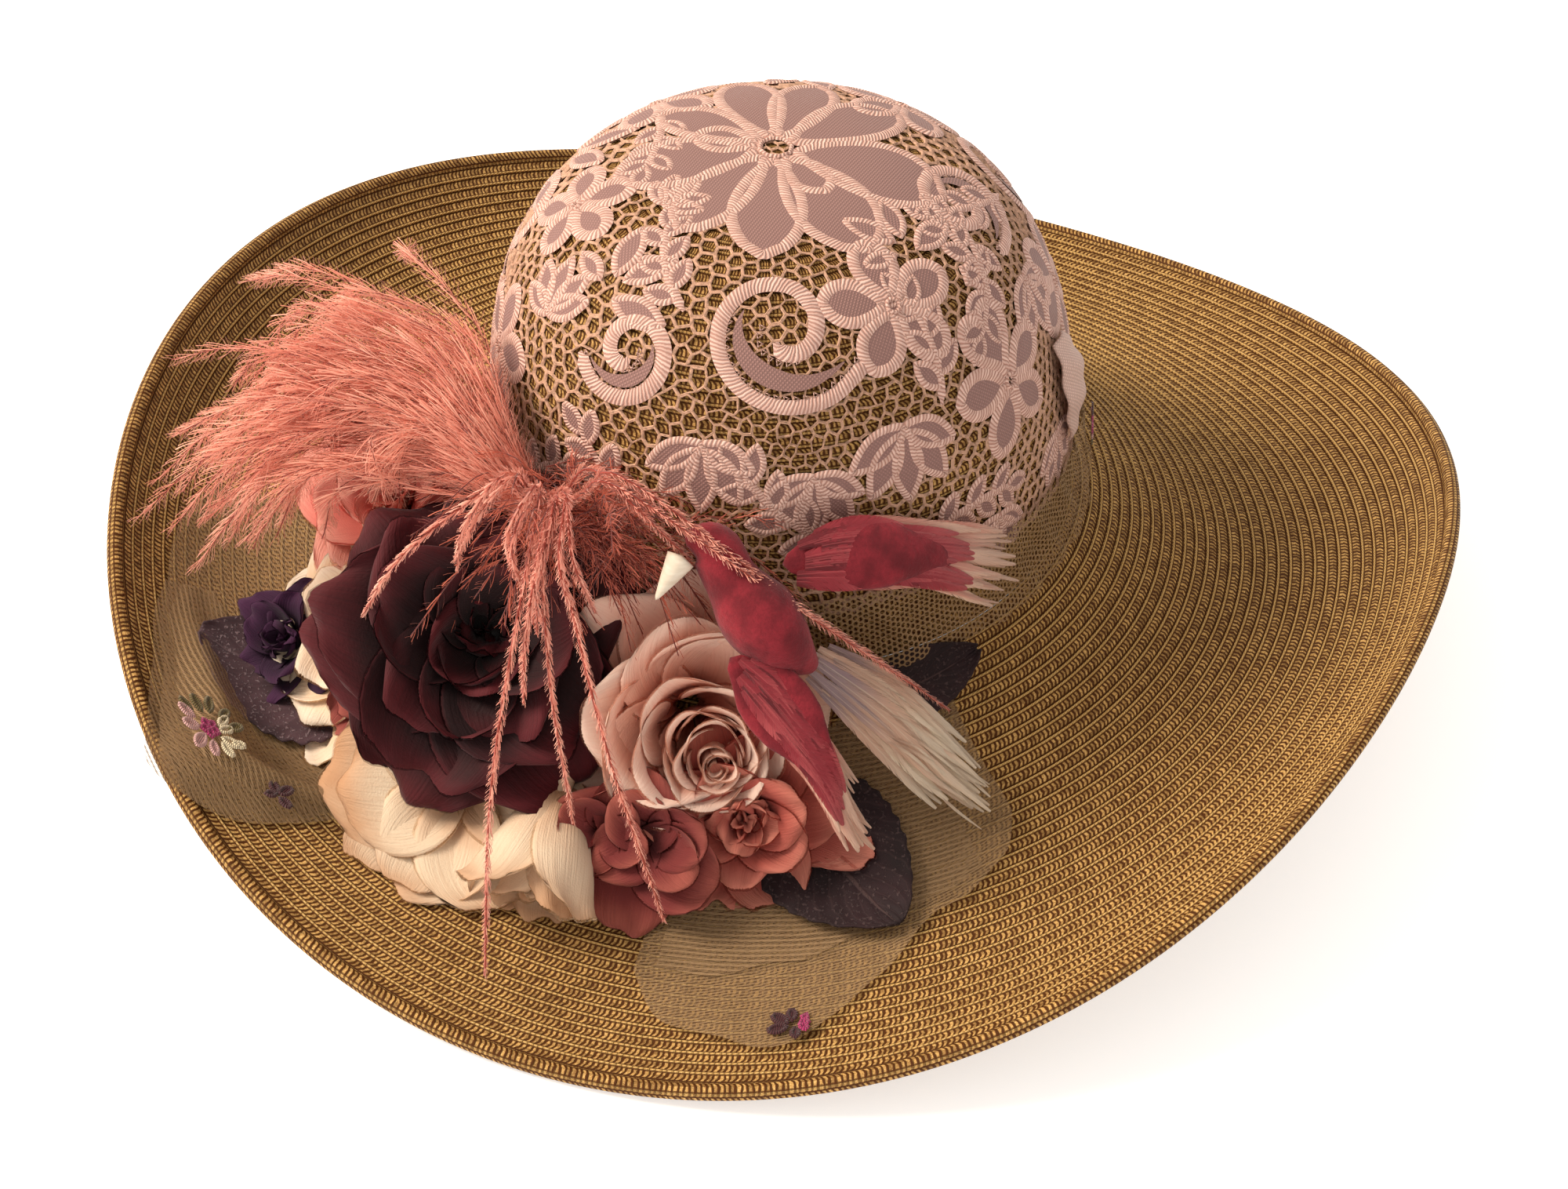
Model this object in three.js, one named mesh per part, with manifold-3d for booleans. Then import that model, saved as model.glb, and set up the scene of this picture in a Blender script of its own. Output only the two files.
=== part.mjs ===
// Tea party hat: a wide braided straw hat with a lace covered crown, a tulle scarf, silk roses,
// leaves, an ostrich plume and a little feathered bird.
// Millimetres, +Z up, and the wearer's front is -Y. Angles are in degrees round +Z from +X, and a
// run is a distance along the brim from the foot of the crown.
import * as THREE from "three";
import { mergeVertices } from "three/addons/utils/BufferGeometryUtils.js";
import Module from "manifold-3d";

const wasm = await Module();
wasm.setup();

// Driving sizes of the straw
const straw = 2;
const gap = 0.3;
const crown = { height: 119.5, narrow: 89.3, wide: 97.3, turn: 159.2, roundness: 3.2, leanX: -10.7, leanY: -4.4 };
const brim = { run: 141.4, curl: 1.63, rows: 17, rib: 1 };
const roll = { width: 5, height: 4.4, sides: 5 };
const restFlat = 0.7;
const segments = 36;
// Room that a cut leaves round a neighbour
const clearance = gap + 0.1;
// Rows of the crown's facets, by rise. The lace starts at the second, so its facets lie over these.
const crownRises = [0, 4.4, 10, 18, 27, 37, 48, 60, 74];

// Slope of the brim in degrees at the crown and at the edge, as sums of waves round the hat
const slopeAtCrown = { mean: -33.2, twice: 4.7 };
const slopeAtEdge = { mean: 41.3, onceCos: 1.05, onceSin: -3.37, twice: 27.8, triceCos: 2.12, triceSin: -3.37 };

// Layers that lie on the straw, each by its lift over it
const skin = 1;
const layer = { first: gap, second: gap + skin + gap, flowers: 2 * (gap + skin) + gap };
const lace = { lift: 0.8, thickness: skin, pinch: 0.2 };
const band = { thickness: skin, height: 31, wave: 1.1, footLift: 4.2 };

const paint = {
  straw: { color: 0xb08a4a, roughness: 0.75, metalness: 0 },
  strawEdge: { color: 0xba9655, roughness: 0.7, metalness: 0 },
  lace: { color: 0xd9a79c, roughness: 0.85, metalness: 0 },
  tulle: { color: 0x9a8462, roughness: 0.9, metalness: 0 },
  burgundy: { color: 0x4a1018, roughness: 0.7, metalness: 0 },
  blush: { color: 0xe6b7a2, roughness: 0.7, metalness: 0 },
  cream: { color: 0xe8d2b0, roughness: 0.7, metalness: 0 },
  coral: { color: 0xcf6f5c, roughness: 0.7, metalness: 0 },
  dustyCoral: { color: 0xb35a4c, roughness: 0.7, metalness: 0 },
  plum: { color: 0x3a1434, roughness: 0.7, metalness: 0 },
  slate: { color: 0x4b4048, roughness: 0.6, metalness: 0 },
  plume: { color: 0xc7705c, roughness: 0.95, metalness: 0 },
  bird: { color: 0xb23a4a, roughness: 0.9, metalness: 0 },
  feather: { color: 0xe0aa9c, roughness: 0.9, metalness: 0 },
  beak: { color: 0xe8dcc8, roughness: 0.5, metalness: 0 },
};

const radians = THREE.MathUtils.degToRad;
const lerp = THREE.MathUtils.lerp;
const wave = (turns, angle) => Math.cos(turns * radians(angle));
const count = (number) => Array.from({ length: number }, (_, index) => index);
const vector = (x, y, z) => new THREE.Vector3(x, y, z);
// The angle of each column of facets, so that two columns stand either side of each dip of the brim
const angleAt = (place) => ((place + 0.5) * 360) / segments;
const allRound = (pointAt) => count(segments).map((place) => pointAt(angleAt(place)));

// Shape of the straw

function ovalRadius(angle, grow) {
  const narrow = Math.cos(radians(angle - crown.turn)) / (crown.narrow + grow);
  const wide = Math.sin(radians(angle - crown.turn)) / (crown.wide + grow);
  return 1 / Math.hypot(narrow, wide);
}

// A point of the crown: rise goes from 0 degrees at its foot to 90 at its top
function crownPoint(angle, rise, lift) {
  const power = 2 / crown.roundness;
  const reach = Math.cos(radians(rise)) ** power * ovalRadius(angle, lift);
  const height = Math.sin(radians(rise)) ** power;
  return vector(
    reach * Math.cos(radians(angle)) + crown.leanX * height,
    reach * Math.sin(radians(angle)) + crown.leanY * height,
    height * (crown.height + lift),
  );
}

// The rise at which the crown has a given height
function riseAt(height) {
  const share = Math.min(height / crown.height, 1);
  return THREE.MathUtils.radToDeg(Math.asin(share ** (crown.roundness / 2)));
}

function slopeAt(angle, run) {
  const inner = slopeAtCrown.mean + slopeAtCrown.twice * wave(2, angle);
  const outer = slopeAtEdge.mean
    + slopeAtEdge.onceCos * wave(1, angle) + slopeAtEdge.onceSin * wave(1, angle - 90)
    + slopeAtEdge.twice * wave(2, angle)
    + slopeAtEdge.triceCos * wave(3, angle) + slopeAtEdge.triceSin * wave(3, angle - 30);
  return radians(inner + (outer - inner) * Math.max(run / brim.run, 0) ** brim.curl);
}

// A point of the brim's upper face, or of a face lifted square off it
function brimPoint(angle, run, lift) {
  const steps = 24;
  let reach = ovalRadius(angle, 0);
  let height = 0;
  for (const step of count(steps)) {
    const slope = slopeAt(angle, (run * (step + 0.5)) / steps);
    reach += (Math.cos(slope) * run) / steps;
    height += (Math.sin(slope) * run) / steps;
  }
  const slope = slopeAt(angle, run);
  reach -= lift * Math.sin(slope);
  height += lift * Math.cos(slope);
  return vector(reach * Math.cos(radians(angle)), reach * Math.sin(radians(angle)), height);
}

// Bodies from rings, grids and tubes

function bodyFrom(points, faces) {
  const geometry = new THREE.BufferGeometry();
  geometry.setAttribute("position", new THREE.Float32BufferAttribute(points.flatMap((p) => p.toArray()), 3));
  let volume = 0;
  for (const [a, b, c] of faces) volume += points[a].dot(points[b].clone().cross(points[c]));
  geometry.setIndex(faces.flatMap(([a, b, c]) => (volume > 0 ? [a, b, c] : [a, c, b])));
  return geometry;
}

// Loops of points joined in turn. A ring wall joins its last loop to its first, and any other body
// closes each end on a pole.
function bodyOfLoops(loops, poles) {
  const points = loops.flat();
  const faces = [];
  const around = loops[0].length;
  const joins = poles ? loops.length - 1 : loops.length;
  for (const row of count(joins)) {
    const next = (row + 1) % loops.length;
    for (const place of count(around)) {
      const beside = (place + 1) % around;
      const corner = [row * around + place, row * around + beside, next * around + beside, next * around + place];
      faces.push([corner[0], corner[1], corner[2]], [corner[0], corner[2], corner[3]]);
    }
  }
  if (poles) {
    const last = (loops.length - 1) * around;
    points.push(poles[0], poles[1]);
    for (const place of count(around)) {
      const beside = (place + 1) % around;
      faces.push([points.length - 2, beside, place], [points.length - 1, last + place, last + beside]);
    }
  }
  return bodyFrom(points, faces);
}

// A sheet with thickness over a grid. The grid closes on itself where wrap is set, cells that open
// names are cut through, and cap holds two poles that close its last row.
function bodyOfSheet(top, bottom, { wrap = false, open = () => false, cap = [] } = {}) {
  const rows = top.length;
  const columns = top[0].length;
  const points = [...top.flat(), ...bottom.flat()];
  const under = rows * columns;
  const faces = [];
  const solid = (row, column) => {
    if (row < 0 || row >= rows - 1) return false;
    if (!wrap && (column < 0 || column >= columns - 1)) return false;
    return !open(row, (column + columns) % columns);
  };
  const quad = (a, b, c, d) => faces.push([a, b, c], [a, c, d]);
  const at = (row, column) => row * columns + ((column + columns) % columns);
  const pole = points.length;
  points.push(...cap);
  for (const column of count(cap.length ? columns : 0)) {
    faces.push([at(rows - 1, column), at(rows - 1, column + 1), pole]);
    faces.push([under + at(rows - 1, column + 1), under + at(rows - 1, column), pole + 1]);
  }
  for (const row of count(rows - 1)) {
    for (const column of count(wrap ? columns : columns - 1)) {
      if (!solid(row, column)) continue;
      const [a, b, c, d] = [at(row, column), at(row, column + 1), at(row + 1, column + 1), at(row + 1, column)];
      quad(a, b, c, d);
      quad(under + a, under + d, under + c, under + b);
      if (!solid(row - 1, column)) quad(a, under + a, under + b, b);
      const capped = cap.length && row === rows - 2;
      if (!solid(row + 1, column) && !capped) quad(c, under + c, under + d, d);
      if (!solid(row, column - 1)) quad(d, under + d, under + a, a);
      if (!solid(row, column + 1)) quad(b, under + b, under + c, c);
    }
  }
  return bodyFrom(points, faces);
}

// A tapered tube along a smooth curve through its points, with a closed end at each side
function bodyOfTube(path, radiusAt, sides, steps) {
  const curve = new THREE.CatmullRomCurve3(path);
  const frames = curve.computeFrenetFrames(steps, false);
  const loops = count(steps - 1).map((step) => {
    const share = (step + 1) / steps;
    const centre = curve.getPoint(share);
    return count(sides).map((side) => {
      const turn = (side * 2 * Math.PI) / sides;
      return centre.clone()
        .addScaledVector(frames.normals[step + 1], Math.cos(turn) * radiusAt(share))
        .addScaledVector(frames.binormals[step + 1], Math.sin(turn) * radiusAt(share));
    });
  });
  return bodyOfLoops(loops, [curve.getPoint(0), curve.getPoint(1)]);
}

// Cuts and joins

function solidOf(geometry) {
  const plain = mergeVertices(geometry.clone(), 1e-4);
  const mesh = new wasm.Mesh({
    numProp: 3,
    vertProperties: new Float32Array(plain.attributes.position.array),
    triVerts: new Uint32Array(plain.index.array),
  });
  return new wasm.Manifold(mesh);
}

function geometryOf(solid) {
  const mesh = solid.getMesh();
  const geometry = new THREE.BufferGeometry();
  geometry.setAttribute("position", new THREE.BufferAttribute(new Float32Array(mesh.vertProperties), 3));
  geometry.setIndex(new THREE.BufferAttribute(new Uint32Array(mesh.triVerts), 1));
  return geometry;
}

// A solid cut clear of its neighbours' rooms
const without = (solid, rooms) => rooms.reduce((left, room) => left.subtract(room), solid);

// The largest piece that a cut leaves, without its slivers
function mainPiece(solid, finest = 0.12) {
  const pieces = solid.simplify(finest).decompose();
  return pieces.reduce((best, piece) => (piece.volume() > best.volume() ? piece : best));
}

// Straw crown: one wall, open below, with a flat inside its top

function strawCrown() {
  const innerRises = [0, 8, 22, 46, 79];
  const loop = (rise, lift) => allRound((angle) => crownPoint(angle, rise, lift));
  const outer = crownRises.map((rise) => loop(rise, 0));
  const inner = innerRises.map((rise) => loop(rise, -straw));
  const ceiling = Math.min(...inner.at(-1).map((point) => point.z));
  for (const point of inner.at(-1)) point.z = ceiling;
  const topPole = crownPoint(0, 90, 0);
  const flatPole = vector(topPole.x, topPole.y, ceiling);
  return bodyOfLoops([...outer.reverse(), ...inner], [topPole, flatPole]);
}

// Straw brim: ribs of braid on top, plain below, with a small flat at each dip where it rests

const dipAngle = 90;
const dipRuns = { from: 100, to: 136, steps: 72 };
const dipHeights = count(dipRuns.steps).map((step) => {
  const run = lerp(dipRuns.from, dipRuns.to, step / dipRuns.steps);
  return brimPoint(dipAngle, run, -straw).z;
});
const floorHeight = Math.min(...dipHeights) + restFlat;

function onFloor(point) {
  point.z = Math.max(point.z, floorHeight);
  return point;
}

function strawBrim() {
  const end = brim.run - roll.width - gap;
  const pitch = end / brim.rows;
  const crest = 0.82;
  const underRuns = [120, 112, 95, 76, 57, 38, 19, 0];
  const loop = (run, lift) => allRound((angle) => onFloor(brimPoint(angle, Math.max(run, gap), lift)));
  const ribs = count(brim.rows).flatMap((row) => [
    loop(row * pitch, 0),
    loop((row + crest) * pitch, brim.rib),
  ]);
  const below = [end, ...underRuns].map((run) => loop(run, -straw));
  return bodyOfLoops([...ribs, loop(end, 0), ...below]);
}

// Rolled edge braid round the brim
function edgeRoll() {
  const middle = brim.run - roll.width / 2;
  const loops = count(roll.sides).map((side) => {
    const turn = (side * 2 * Math.PI) / roll.sides;
    const run = middle + (Math.cos(turn) * roll.width) / 2;
    const lift = (Math.sin(turn) * roll.height) / 2 - straw / 2;
    return allRound((angle) => onFloor(brimPoint(angle, run, lift)));
  });
  return bodyOfLoops(loops);
}

// Lace over the crown: a skin pierced in rows of petal shaped gaps

function laceCover() {
  const rises = crownRises.slice(1);
  const columns = segments;
  const pierced = (row, column) => row % 2 === 1 && column % 2 === 0;
  const pinched = (row, column) => {
    const pinch = (row % 4 < 2 ? lace.pinch : -lace.pinch) * (column % 2 === 0 ? 1 : -1);
    return angleAt(column + pinch);
  };
  const grid = (lift) => rises.map((rise, row) =>
    count(columns).map((column) => crownPoint(pinched(row, column), rise, lift)));
  const [under, over] = [lace.lift, lace.lift + lace.thickness];
  const cap = [crownPoint(0, 90, over), crownPoint(0, 90, under)];
  return bodyOfSheet(grid(over), grid(under), { wrap: true, open: pierced, cap });
}

// Small folded ear of lace at the crown's side
function laceFlap() {
  const rows = [
    { height: 36, from: 4, to: 12, out: 0.4 },
    { height: 44, from: 2, to: 14, out: 2.6 },
    { height: 54, from: 1, to: 14, out: 4.2 },
    { height: 64, from: 2, to: 12, out: 3.2 },
    { height: 72, from: 4, to: 9, out: 0.6 },
  ];
  const clear = lace.lift + lace.thickness + gap;
  const steps = 3;
  const bulgeFrom = 0.15;
  const grid = (extra) => rows.map((row) => count(steps + 1).map((step) => {
    const share = step / steps;
    const bulge = row.out * Math.sin(Math.PI * lerp(bulgeFrom, 1 - bulgeFrom, share));
    return crownPoint(lerp(row.from, row.to, share), riseAt(row.height), clear + bulge + extra);
  }));
  return bodyOfSheet(grid(skin), grid(0));
}

// Tulle band gathered round the foot of the crown
function netBand() {
  const rows = [
    { height: 1, lift: band.footLift },
    { height: 14, lift: 2.2 },
    { height: band.height, lift: 1.0 },
  ];
  const grid = (extra) => rows.map((row) => count(segments).map((place) => {
    const gather = (place % 2 ? 1 : 0) * band.wave;
    const lift = lace.lift + lace.thickness + gap + row.lift + gather + extra;
    return crownPoint(angleAt(place), riseAt(row.height), lift);
  }));
  return bodyOfSheet(grid(band.thickness), grid(0), { wrap: true });
}

// A sheet that lies on the brim, by rows round the hat from an inner run to an outer one. fold lifts
// it in a soft ridge at a share of the way out.
function drape(rows, extra) {
  const steps = 6;
  const foldWidth = 0.22;
  const grid = (lift) => rows.map((row) => count(steps + 1).map((step) => {
    const share = step / steps;
    const ridge = row.fold * Math.exp(-(((share - row.at) / foldWidth) ** 2));
    const run = lerp(row.from - extra, row.to + extra, share);
    return brimPoint(row.angle, run, layer.first + brim.rib + ridge + lift);
  }));
  return bodyOfSheet(grid(skin + extra), grid(-extra));
}

const frontVeil = [
  { angle: 275, from: 62, to: 99, fold: 0, at: 0.6 },
  { angle: 279, from: 48, to: 116, fold: 1.5, at: 0.7 },
  { angle: 284, from: 36, to: 120, fold: 3, at: 0.7 },
  { angle: 288.5, from: 28, to: 125, fold: 3.5, at: 0.68 },
  { angle: 293, from: 22, to: 114, fold: 3.5, at: 0.7 },
  { angle: 298, from: 17, to: 101, fold: 3, at: 0.75 },
  { angle: 303, from: 12, to: 87, fold: 3, at: 0.85 },
  { angle: 309, from: 10, to: 80, fold: 2, at: 0.9 },
  { angle: 314, from: 9, to: 72.6, fold: 2.5, at: 0.9 },
  { angle: 317, from: 9, to: 60, fold: 2.5, at: 0.9 },
];

const leftVeil = [
  { angle: 200, from: 62, to: 104, fold: 0, at: 0.8 },
  { angle: 206, from: 54, to: 116, fold: 1, at: 0.8 },
  { angle: 213, from: 50, to: 120, fold: 1.5, at: 0.9 },
  { angle: 220, from: 48, to: 127, fold: 2, at: 0.9 },
  { angle: 226, from: 48, to: 132, fold: 3, at: 0.8 },
  { angle: 231, from: 50, to: 146, fold: 7, at: 0.7 },
  { angle: 235, from: 54, to: 155, fold: 9, at: 0.7 },
  { angle: 237.5, from: 58, to: 143, fold: 7, at: 0.7 },
  { angle: 240, from: 62, to: 123, fold: 5, at: 0.6 },
  { angle: 242, from: 66, to: 92, fold: 2, at: 0.5 },
];

// Leaves on the brim: a pointed oval about a line from its base to its tip
const leaves = [
  { name: "leaf_left", color: paint.slate, base: [232, 58], tip: [219.5, 114], half: 27, lift: layer.second, curl: 2 },
  { name: "leaf_front", color: paint.plum, base: [289, 32], tip: [300.5, 88], half: 24, lift: layer.second, curl: 3 },
  { name: "leaf_back", color: paint.plum, base: [300, 14], tip: [324, 9], half: 11, lift: layer.second, curl: 4 },
];

function leafBody(leaf, extra) {
  const rows = 7;
  const across = 2;
  const length = 50;
  const blunt = 0.04;
  const widestAt = 0.85;
  const fullness = 0.75;
  const edgeCurl = 0.6;
  const [baseAngle, baseRun] = leaf.base;
  const [tipAngle, tipRun] = leaf.tip;
  const reach = ovalRadius(baseAngle, 0) + (baseRun + tipRun) / 2;
  const along = new THREE.Vector2(radians(tipAngle - baseAngle) * reach, tipRun - baseRun);
  const side = new THREE.Vector2(-along.y, along.x).normalize();
  const grid = (lift) => count(rows).map((row) => {
    const spare = blunt - extra / length;
    const share = spare + ((1 - 2 * spare) * row) / (rows - 1);
    const width = Math.sin(Math.PI * THREE.MathUtils.clamp(share, 0, 1) ** widestAt) ** fullness;
    const half = leaf.half * width + extra;
    return count(across + 1).map((step) => {
      const out = (2 * step) / across - 1;
      const round = radians(baseAngle) * reach + along.x * share + side.x * out * half;
      const run = baseRun + along.y * share + side.y * out * half;
      const curl = leaf.curl * (edgeCurl * out ** 2 + share ** 2);
      return brimPoint(THREE.MathUtils.radToDeg(round / reach), run, leaf.lift + brim.rib + curl + lift);
    });
  });
  return bodyOfSheet(grid(skin + extra), grid(-extra));
}

// Silk flowers: petal whorls as scalloped rings from the heart out, round under to a seat
// Each ring's reach is a share of the radius and its height a share of the depth.
const roseRings = [
  { reach: 0.12, height: 0.74, scallop: 0.1 },
  { reach: 0.3, height: 0.92, scallop: 0.16 },
  { reach: 0.36, height: 0.7, scallop: 0.16 },
  { reach: 0.62, height: 0.96, scallop: 0.12 },
  { reach: 0.68, height: 0.66, scallop: 0.12 },
  { reach: 1, height: 0.8, scallop: 0.09 },
  { reach: 0.93, height: 0.6, scallop: 0.09 },
  { reach: 0.45, height: 0.12, scallop: 0.04 },
];
const blossomRings = [
  { reach: 0.2, height: 0.7, scallop: 0.1 },
  { reach: 0.55, height: 1, scallop: 0.16 },
  { reach: 0.6, height: 0.72, scallop: 0.16 },
  { reach: 1, height: 0.86, scallop: 0.14 },
  { reach: 0.85, height: 0.55, scallop: 0.14 },
];
const budRings = [
  { reach: 0.25, height: 0.97, scallop: 0.1 },
  { reach: 0.6, height: 0.86, scallop: 0.12 },
  { reach: 1, height: 0.5, scallop: 0.08 },
  { reach: 0.7, height: 0.2, scallop: 0.05 },
];

// face is the middle of the flower's face, and it looks along aim and up by tilt
const flowers = [
  { name: "rose_burgundy", color: paint.burgundy, rings: roseRings, face: [-54, -132, 18], aim: 292, tilt: 42,
    radius: 41, depth: 44, petals: 5, around: 15 },
  { name: "rose_blush", color: paint.blush, rings: roseRings, face: [18, -141, 18], aim: 292, tilt: 30,
    radius: 34, depth: 44, petals: 5, around: 15 },
  { name: "rose_cream_left", color: paint.cream, rings: roseRings, face: [-100, -118, -2], aim: 240, tilt: 40,
    radius: 34, depth: 34, petals: 5, around: 14 },
  { name: "rose_cream_front", color: paint.cream, rings: roseRings, face: [-52, -166, -10], aim: 262, tilt: 30,
    radius: 27, depth: 34, petals: 5, around: 14 },
  { name: "bud_cream", color: paint.cream, rings: budRings, face: [-14, -184, -30], aim: 280, tilt: -20,
    radius: 16, depth: 46, petals: 3, around: 12 },
  { name: "flower_coral", color: paint.coral, rings: blossomRings, face: [-116, -78, 16], aim: 235, tilt: 50,
    radius: 27, depth: 34, petals: 6, around: 12 },
  { name: "petals_dusty", color: paint.dustyCoral, rings: blossomRings, face: [-80, -140, -2], aim: 255, tilt: 35,
    radius: 24, depth: 26, petals: 6, around: 12 },
  { name: "flower_purple", color: paint.plum, rings: blossomRings, face: [-130, -118, -13], aim: 235, tilt: 45,
    radius: 17, depth: 20, petals: 5, around: 10 },
  { name: "flower_hydrangea", color: paint.dustyCoral, rings: blossomRings, face: [6, -161, -18], aim: 275, tilt: 30,
    radius: 21, depth: 22, petals: 4, around: 12 },
  { name: "flower_carnation", color: paint.coral, rings: blossomRings, face: [38, -146, -14], aim: 290, tilt: 25,
    radius: 24, depth: 26, petals: 8, around: 14 },
];

// The way that a flower looks
function facingOf(flower) {
  const level = Math.cos(radians(flower.tilt));
  return vector(
    level * Math.cos(radians(flower.aim)),
    level * Math.sin(radians(flower.aim)),
    Math.sin(radians(flower.tilt)),
  );
}

function flowerBody(flower) {
  const twist = 17;
  const ruffle = 0.3;
  const facing = facingOf(flower);
  const across = vector(0, 0, 1).cross(facing).normalize();
  const upward = facing.clone().cross(across);
  const seat = vector(...flower.face).addScaledVector(facing, -flower.depth);
  const loops = flower.rings.map((ring, row) => count(flower.around).map((place) => {
    const turn = (place * 360) / flower.around;
    const scallop = ring.scallop * wave(flower.petals, turn + row * twist);
    const reach = ring.reach * flower.radius * (1 + scallop);
    const height = flower.depth * (ring.height + ruffle * scallop);
    return seat.clone()
      .addScaledVector(facing, height)
      .addScaledVector(across, Math.cos(radians(turn)) * reach)
      .addScaledVector(upward, Math.sin(radians(turn)) * reach);
  }));
  const hollow = 0.97;
  const heart = seat.clone().addScaledVector(facing, flower.depth * flower.rings[0].height * hollow);
  return bodyOfLoops(loops, [heart, seat]);
}

// Two neighbouring flowers share the plane where their round outlines meet
function trimToNeighbours(solid, flower) {
  const inward = 0.4;
  const farthest = 12;
  const middleOf = (one) => vector(...one.face).addScaledVector(facingOf(one), -one.depth * inward);
  const middle = middleOf(flower);
  let trimmed = solid;
  for (const other of flowers) {
    if (other === flower) continue;
    const toOther = middleOf(other).sub(middle);
    const distance = toOther.length();
    if (distance > flower.radius + other.radius + farthest) continue;
    const share = (distance ** 2 + flower.radius ** 2 - other.radius ** 2) / (2 * distance) - gap / 2;
    const normal = toOther.normalize();
    trimmed = trimmed.trimByPlane([-normal.x, -normal.y, -normal.z], -(normal.dot(middle) + share));
  }
  return trimmed;
}

// Everything under the flowers: the brim with its layers, as one blocking solid
function groundUnderFlowers(lift) {
  const deep = -60;
  const runs = [-12, 10, 30, 50, 70, 90, 110, 130, 150];
  const face = (height) => runs.map((run) => allRound((angle) => brimPoint(angle, run, height)));
  return solidOf(bodyOfSheet(face(lift + brim.rib), face(deep), { wrap: true }));
}

// The crown with the layers on it, as one blocking solid
function crownUnderTrim(lift) {
  const rises = [0, 1, 3, 8, 16, 28, 44, 62, 80];
  const deep = -30;
  const loops = rises.map((rise) => allRound((angle) => crownPoint(angle, rise, lift)));
  for (const point of loops[0]) point.z = deep;
  return solidOf(bodyOfLoops(loops, [vector(0, 0, deep), crownPoint(0, 90, lift)]));
}

// Bird: a plump body with its head, and a cone beak
const birdSpine = [
  { at: [3, -111, 66], radius: 8 },
  { at: [11, -109, 63], radius: 10 },
  { at: [18, -112, 55], radius: 8.5 },
  { at: [27, -115, 47], radius: 11.5 },
  { at: [37, -116, 38], radius: 11 },
  { at: [46, -114, 30], radius: 7 },
];

function birdBody(grow) {
  const sides = 8;
  const endLength = 4;
  const centres = birdSpine.map((row) => vector(...row.at));
  const curve = new THREE.CatmullRomCurve3(centres);
  const frames = curve.computeFrenetFrames(birdSpine.length - 1, false);
  const loops = birdSpine.map((row, index) => count(sides).map((side) => {
    const turn = (side * 2 * Math.PI) / sides;
    return centres[index].clone()
      .addScaledVector(frames.normals[index], Math.cos(turn) * (row.radius + grow))
      .addScaledVector(frames.binormals[index], Math.sin(turn) * (row.radius + grow));
  }));
  const before = centres[0].clone().addScaledVector(frames.tangents[0], -endLength - grow);
  const after = centres.at(-1).clone().addScaledVector(frames.tangents.at(-1), endLength + grow);
  return bodyOfLoops(loops, [before, after]);
}

function beakBody(grow) {
  const base = vector(4.4, -115.5, 62.4);
  const tip = vector(0.5, -127, 53.5);
  const widest = 4.6;
  const point = 0.4;
  const taper = (share) => lerp(widest, point, share) + grow;
  return bodyOfTube([base, base.clone().lerp(tip, 0.5), tip], taper, 6, 5);
}

// Wings and tail: flat bodies along a spine, with separate feather ends. wide is the half width
// along the view's upward line, and each feather's reach is a share of the last stretch.
const wings = [
  { name: "wing_upper", color: paint.bird, feathers: [0.5, 1, 0.6, 0.9, 0.4], spine: [
    { at: [33, -106, 54], wide: 7 },
    { at: [50, -98, 51], wide: 11 },
    { at: [69, -80, 44], wide: 10 },
    { at: [84, -60, 32], wide: 13 },
    { at: [92, -46, 25], wide: 11 },
  ] },
  { name: "wing_lower", color: paint.bird, feathers: [0.6, 1, 0.5, 0.9, 0.5], spine: [
    { at: [24, -128, 40], wide: 7 },
    { at: [38, -130, 30], wide: 11 },
    { at: [55, -135, 15], wide: 9 },
    { at: [68, -138, -4], wide: 11 },
    { at: [76, -135, -16], wide: 9 },
  ] },
  { name: "tail_feathers", color: paint.feather, feathers: [0.3, 1, 0.4, 0.8, 0.3], spine: [
    { at: [43, -113, 33], wide: 7 },
    { at: [66, -107, 12], wide: 12 },
    { at: [84, -107, -2], wide: 12 },
    { at: [104, -106, -15], wide: 8 },
  ] },
];

function wingBody(wing, extra) {
  const upward = vector(-0.21, 0.66, 0.72).normalize();
  const toViewer = vector(0.22, -0.68, 0.7).normalize();
  const arch = 3;
  const together = 0.98;
  const apart = 0.35;
  const across = wing.feathers.length;
  const columns = 2 * across;
  const rows = wing.spine.length;
  const grid = (side) => wing.spine.map((row, index) => count(columns).map((column) => {
    const feather = Math.floor(column / 2);
    const outer = index === rows - 1;
    const beforeLast = vector(...wing.spine[rows - 2].at);
    const middle = vector(...row.at);
    if (outer) middle.copy(beforeLast.clone().lerp(middle, wing.feathers[feather]));
    const pinch = outer ? apart : together;
    const slot = (feather + 0.5 + (column % 2 ? 0.5 : -0.5) * pinch) / across;
    return middle
      .addScaledVector(upward, (2 * slot - 1) * (row.wide + extra))
      .addScaledVector(toViewer, side * (skin / 2 + extra) - arch * (2 * slot - 1) ** 2);
  }));
  const split = (row, column) => row === rows - 2 && column % 2 === 1 && column < columns - 1;
  return bodyOfSheet(grid(1), grid(-1), { open: split });
}

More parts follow.
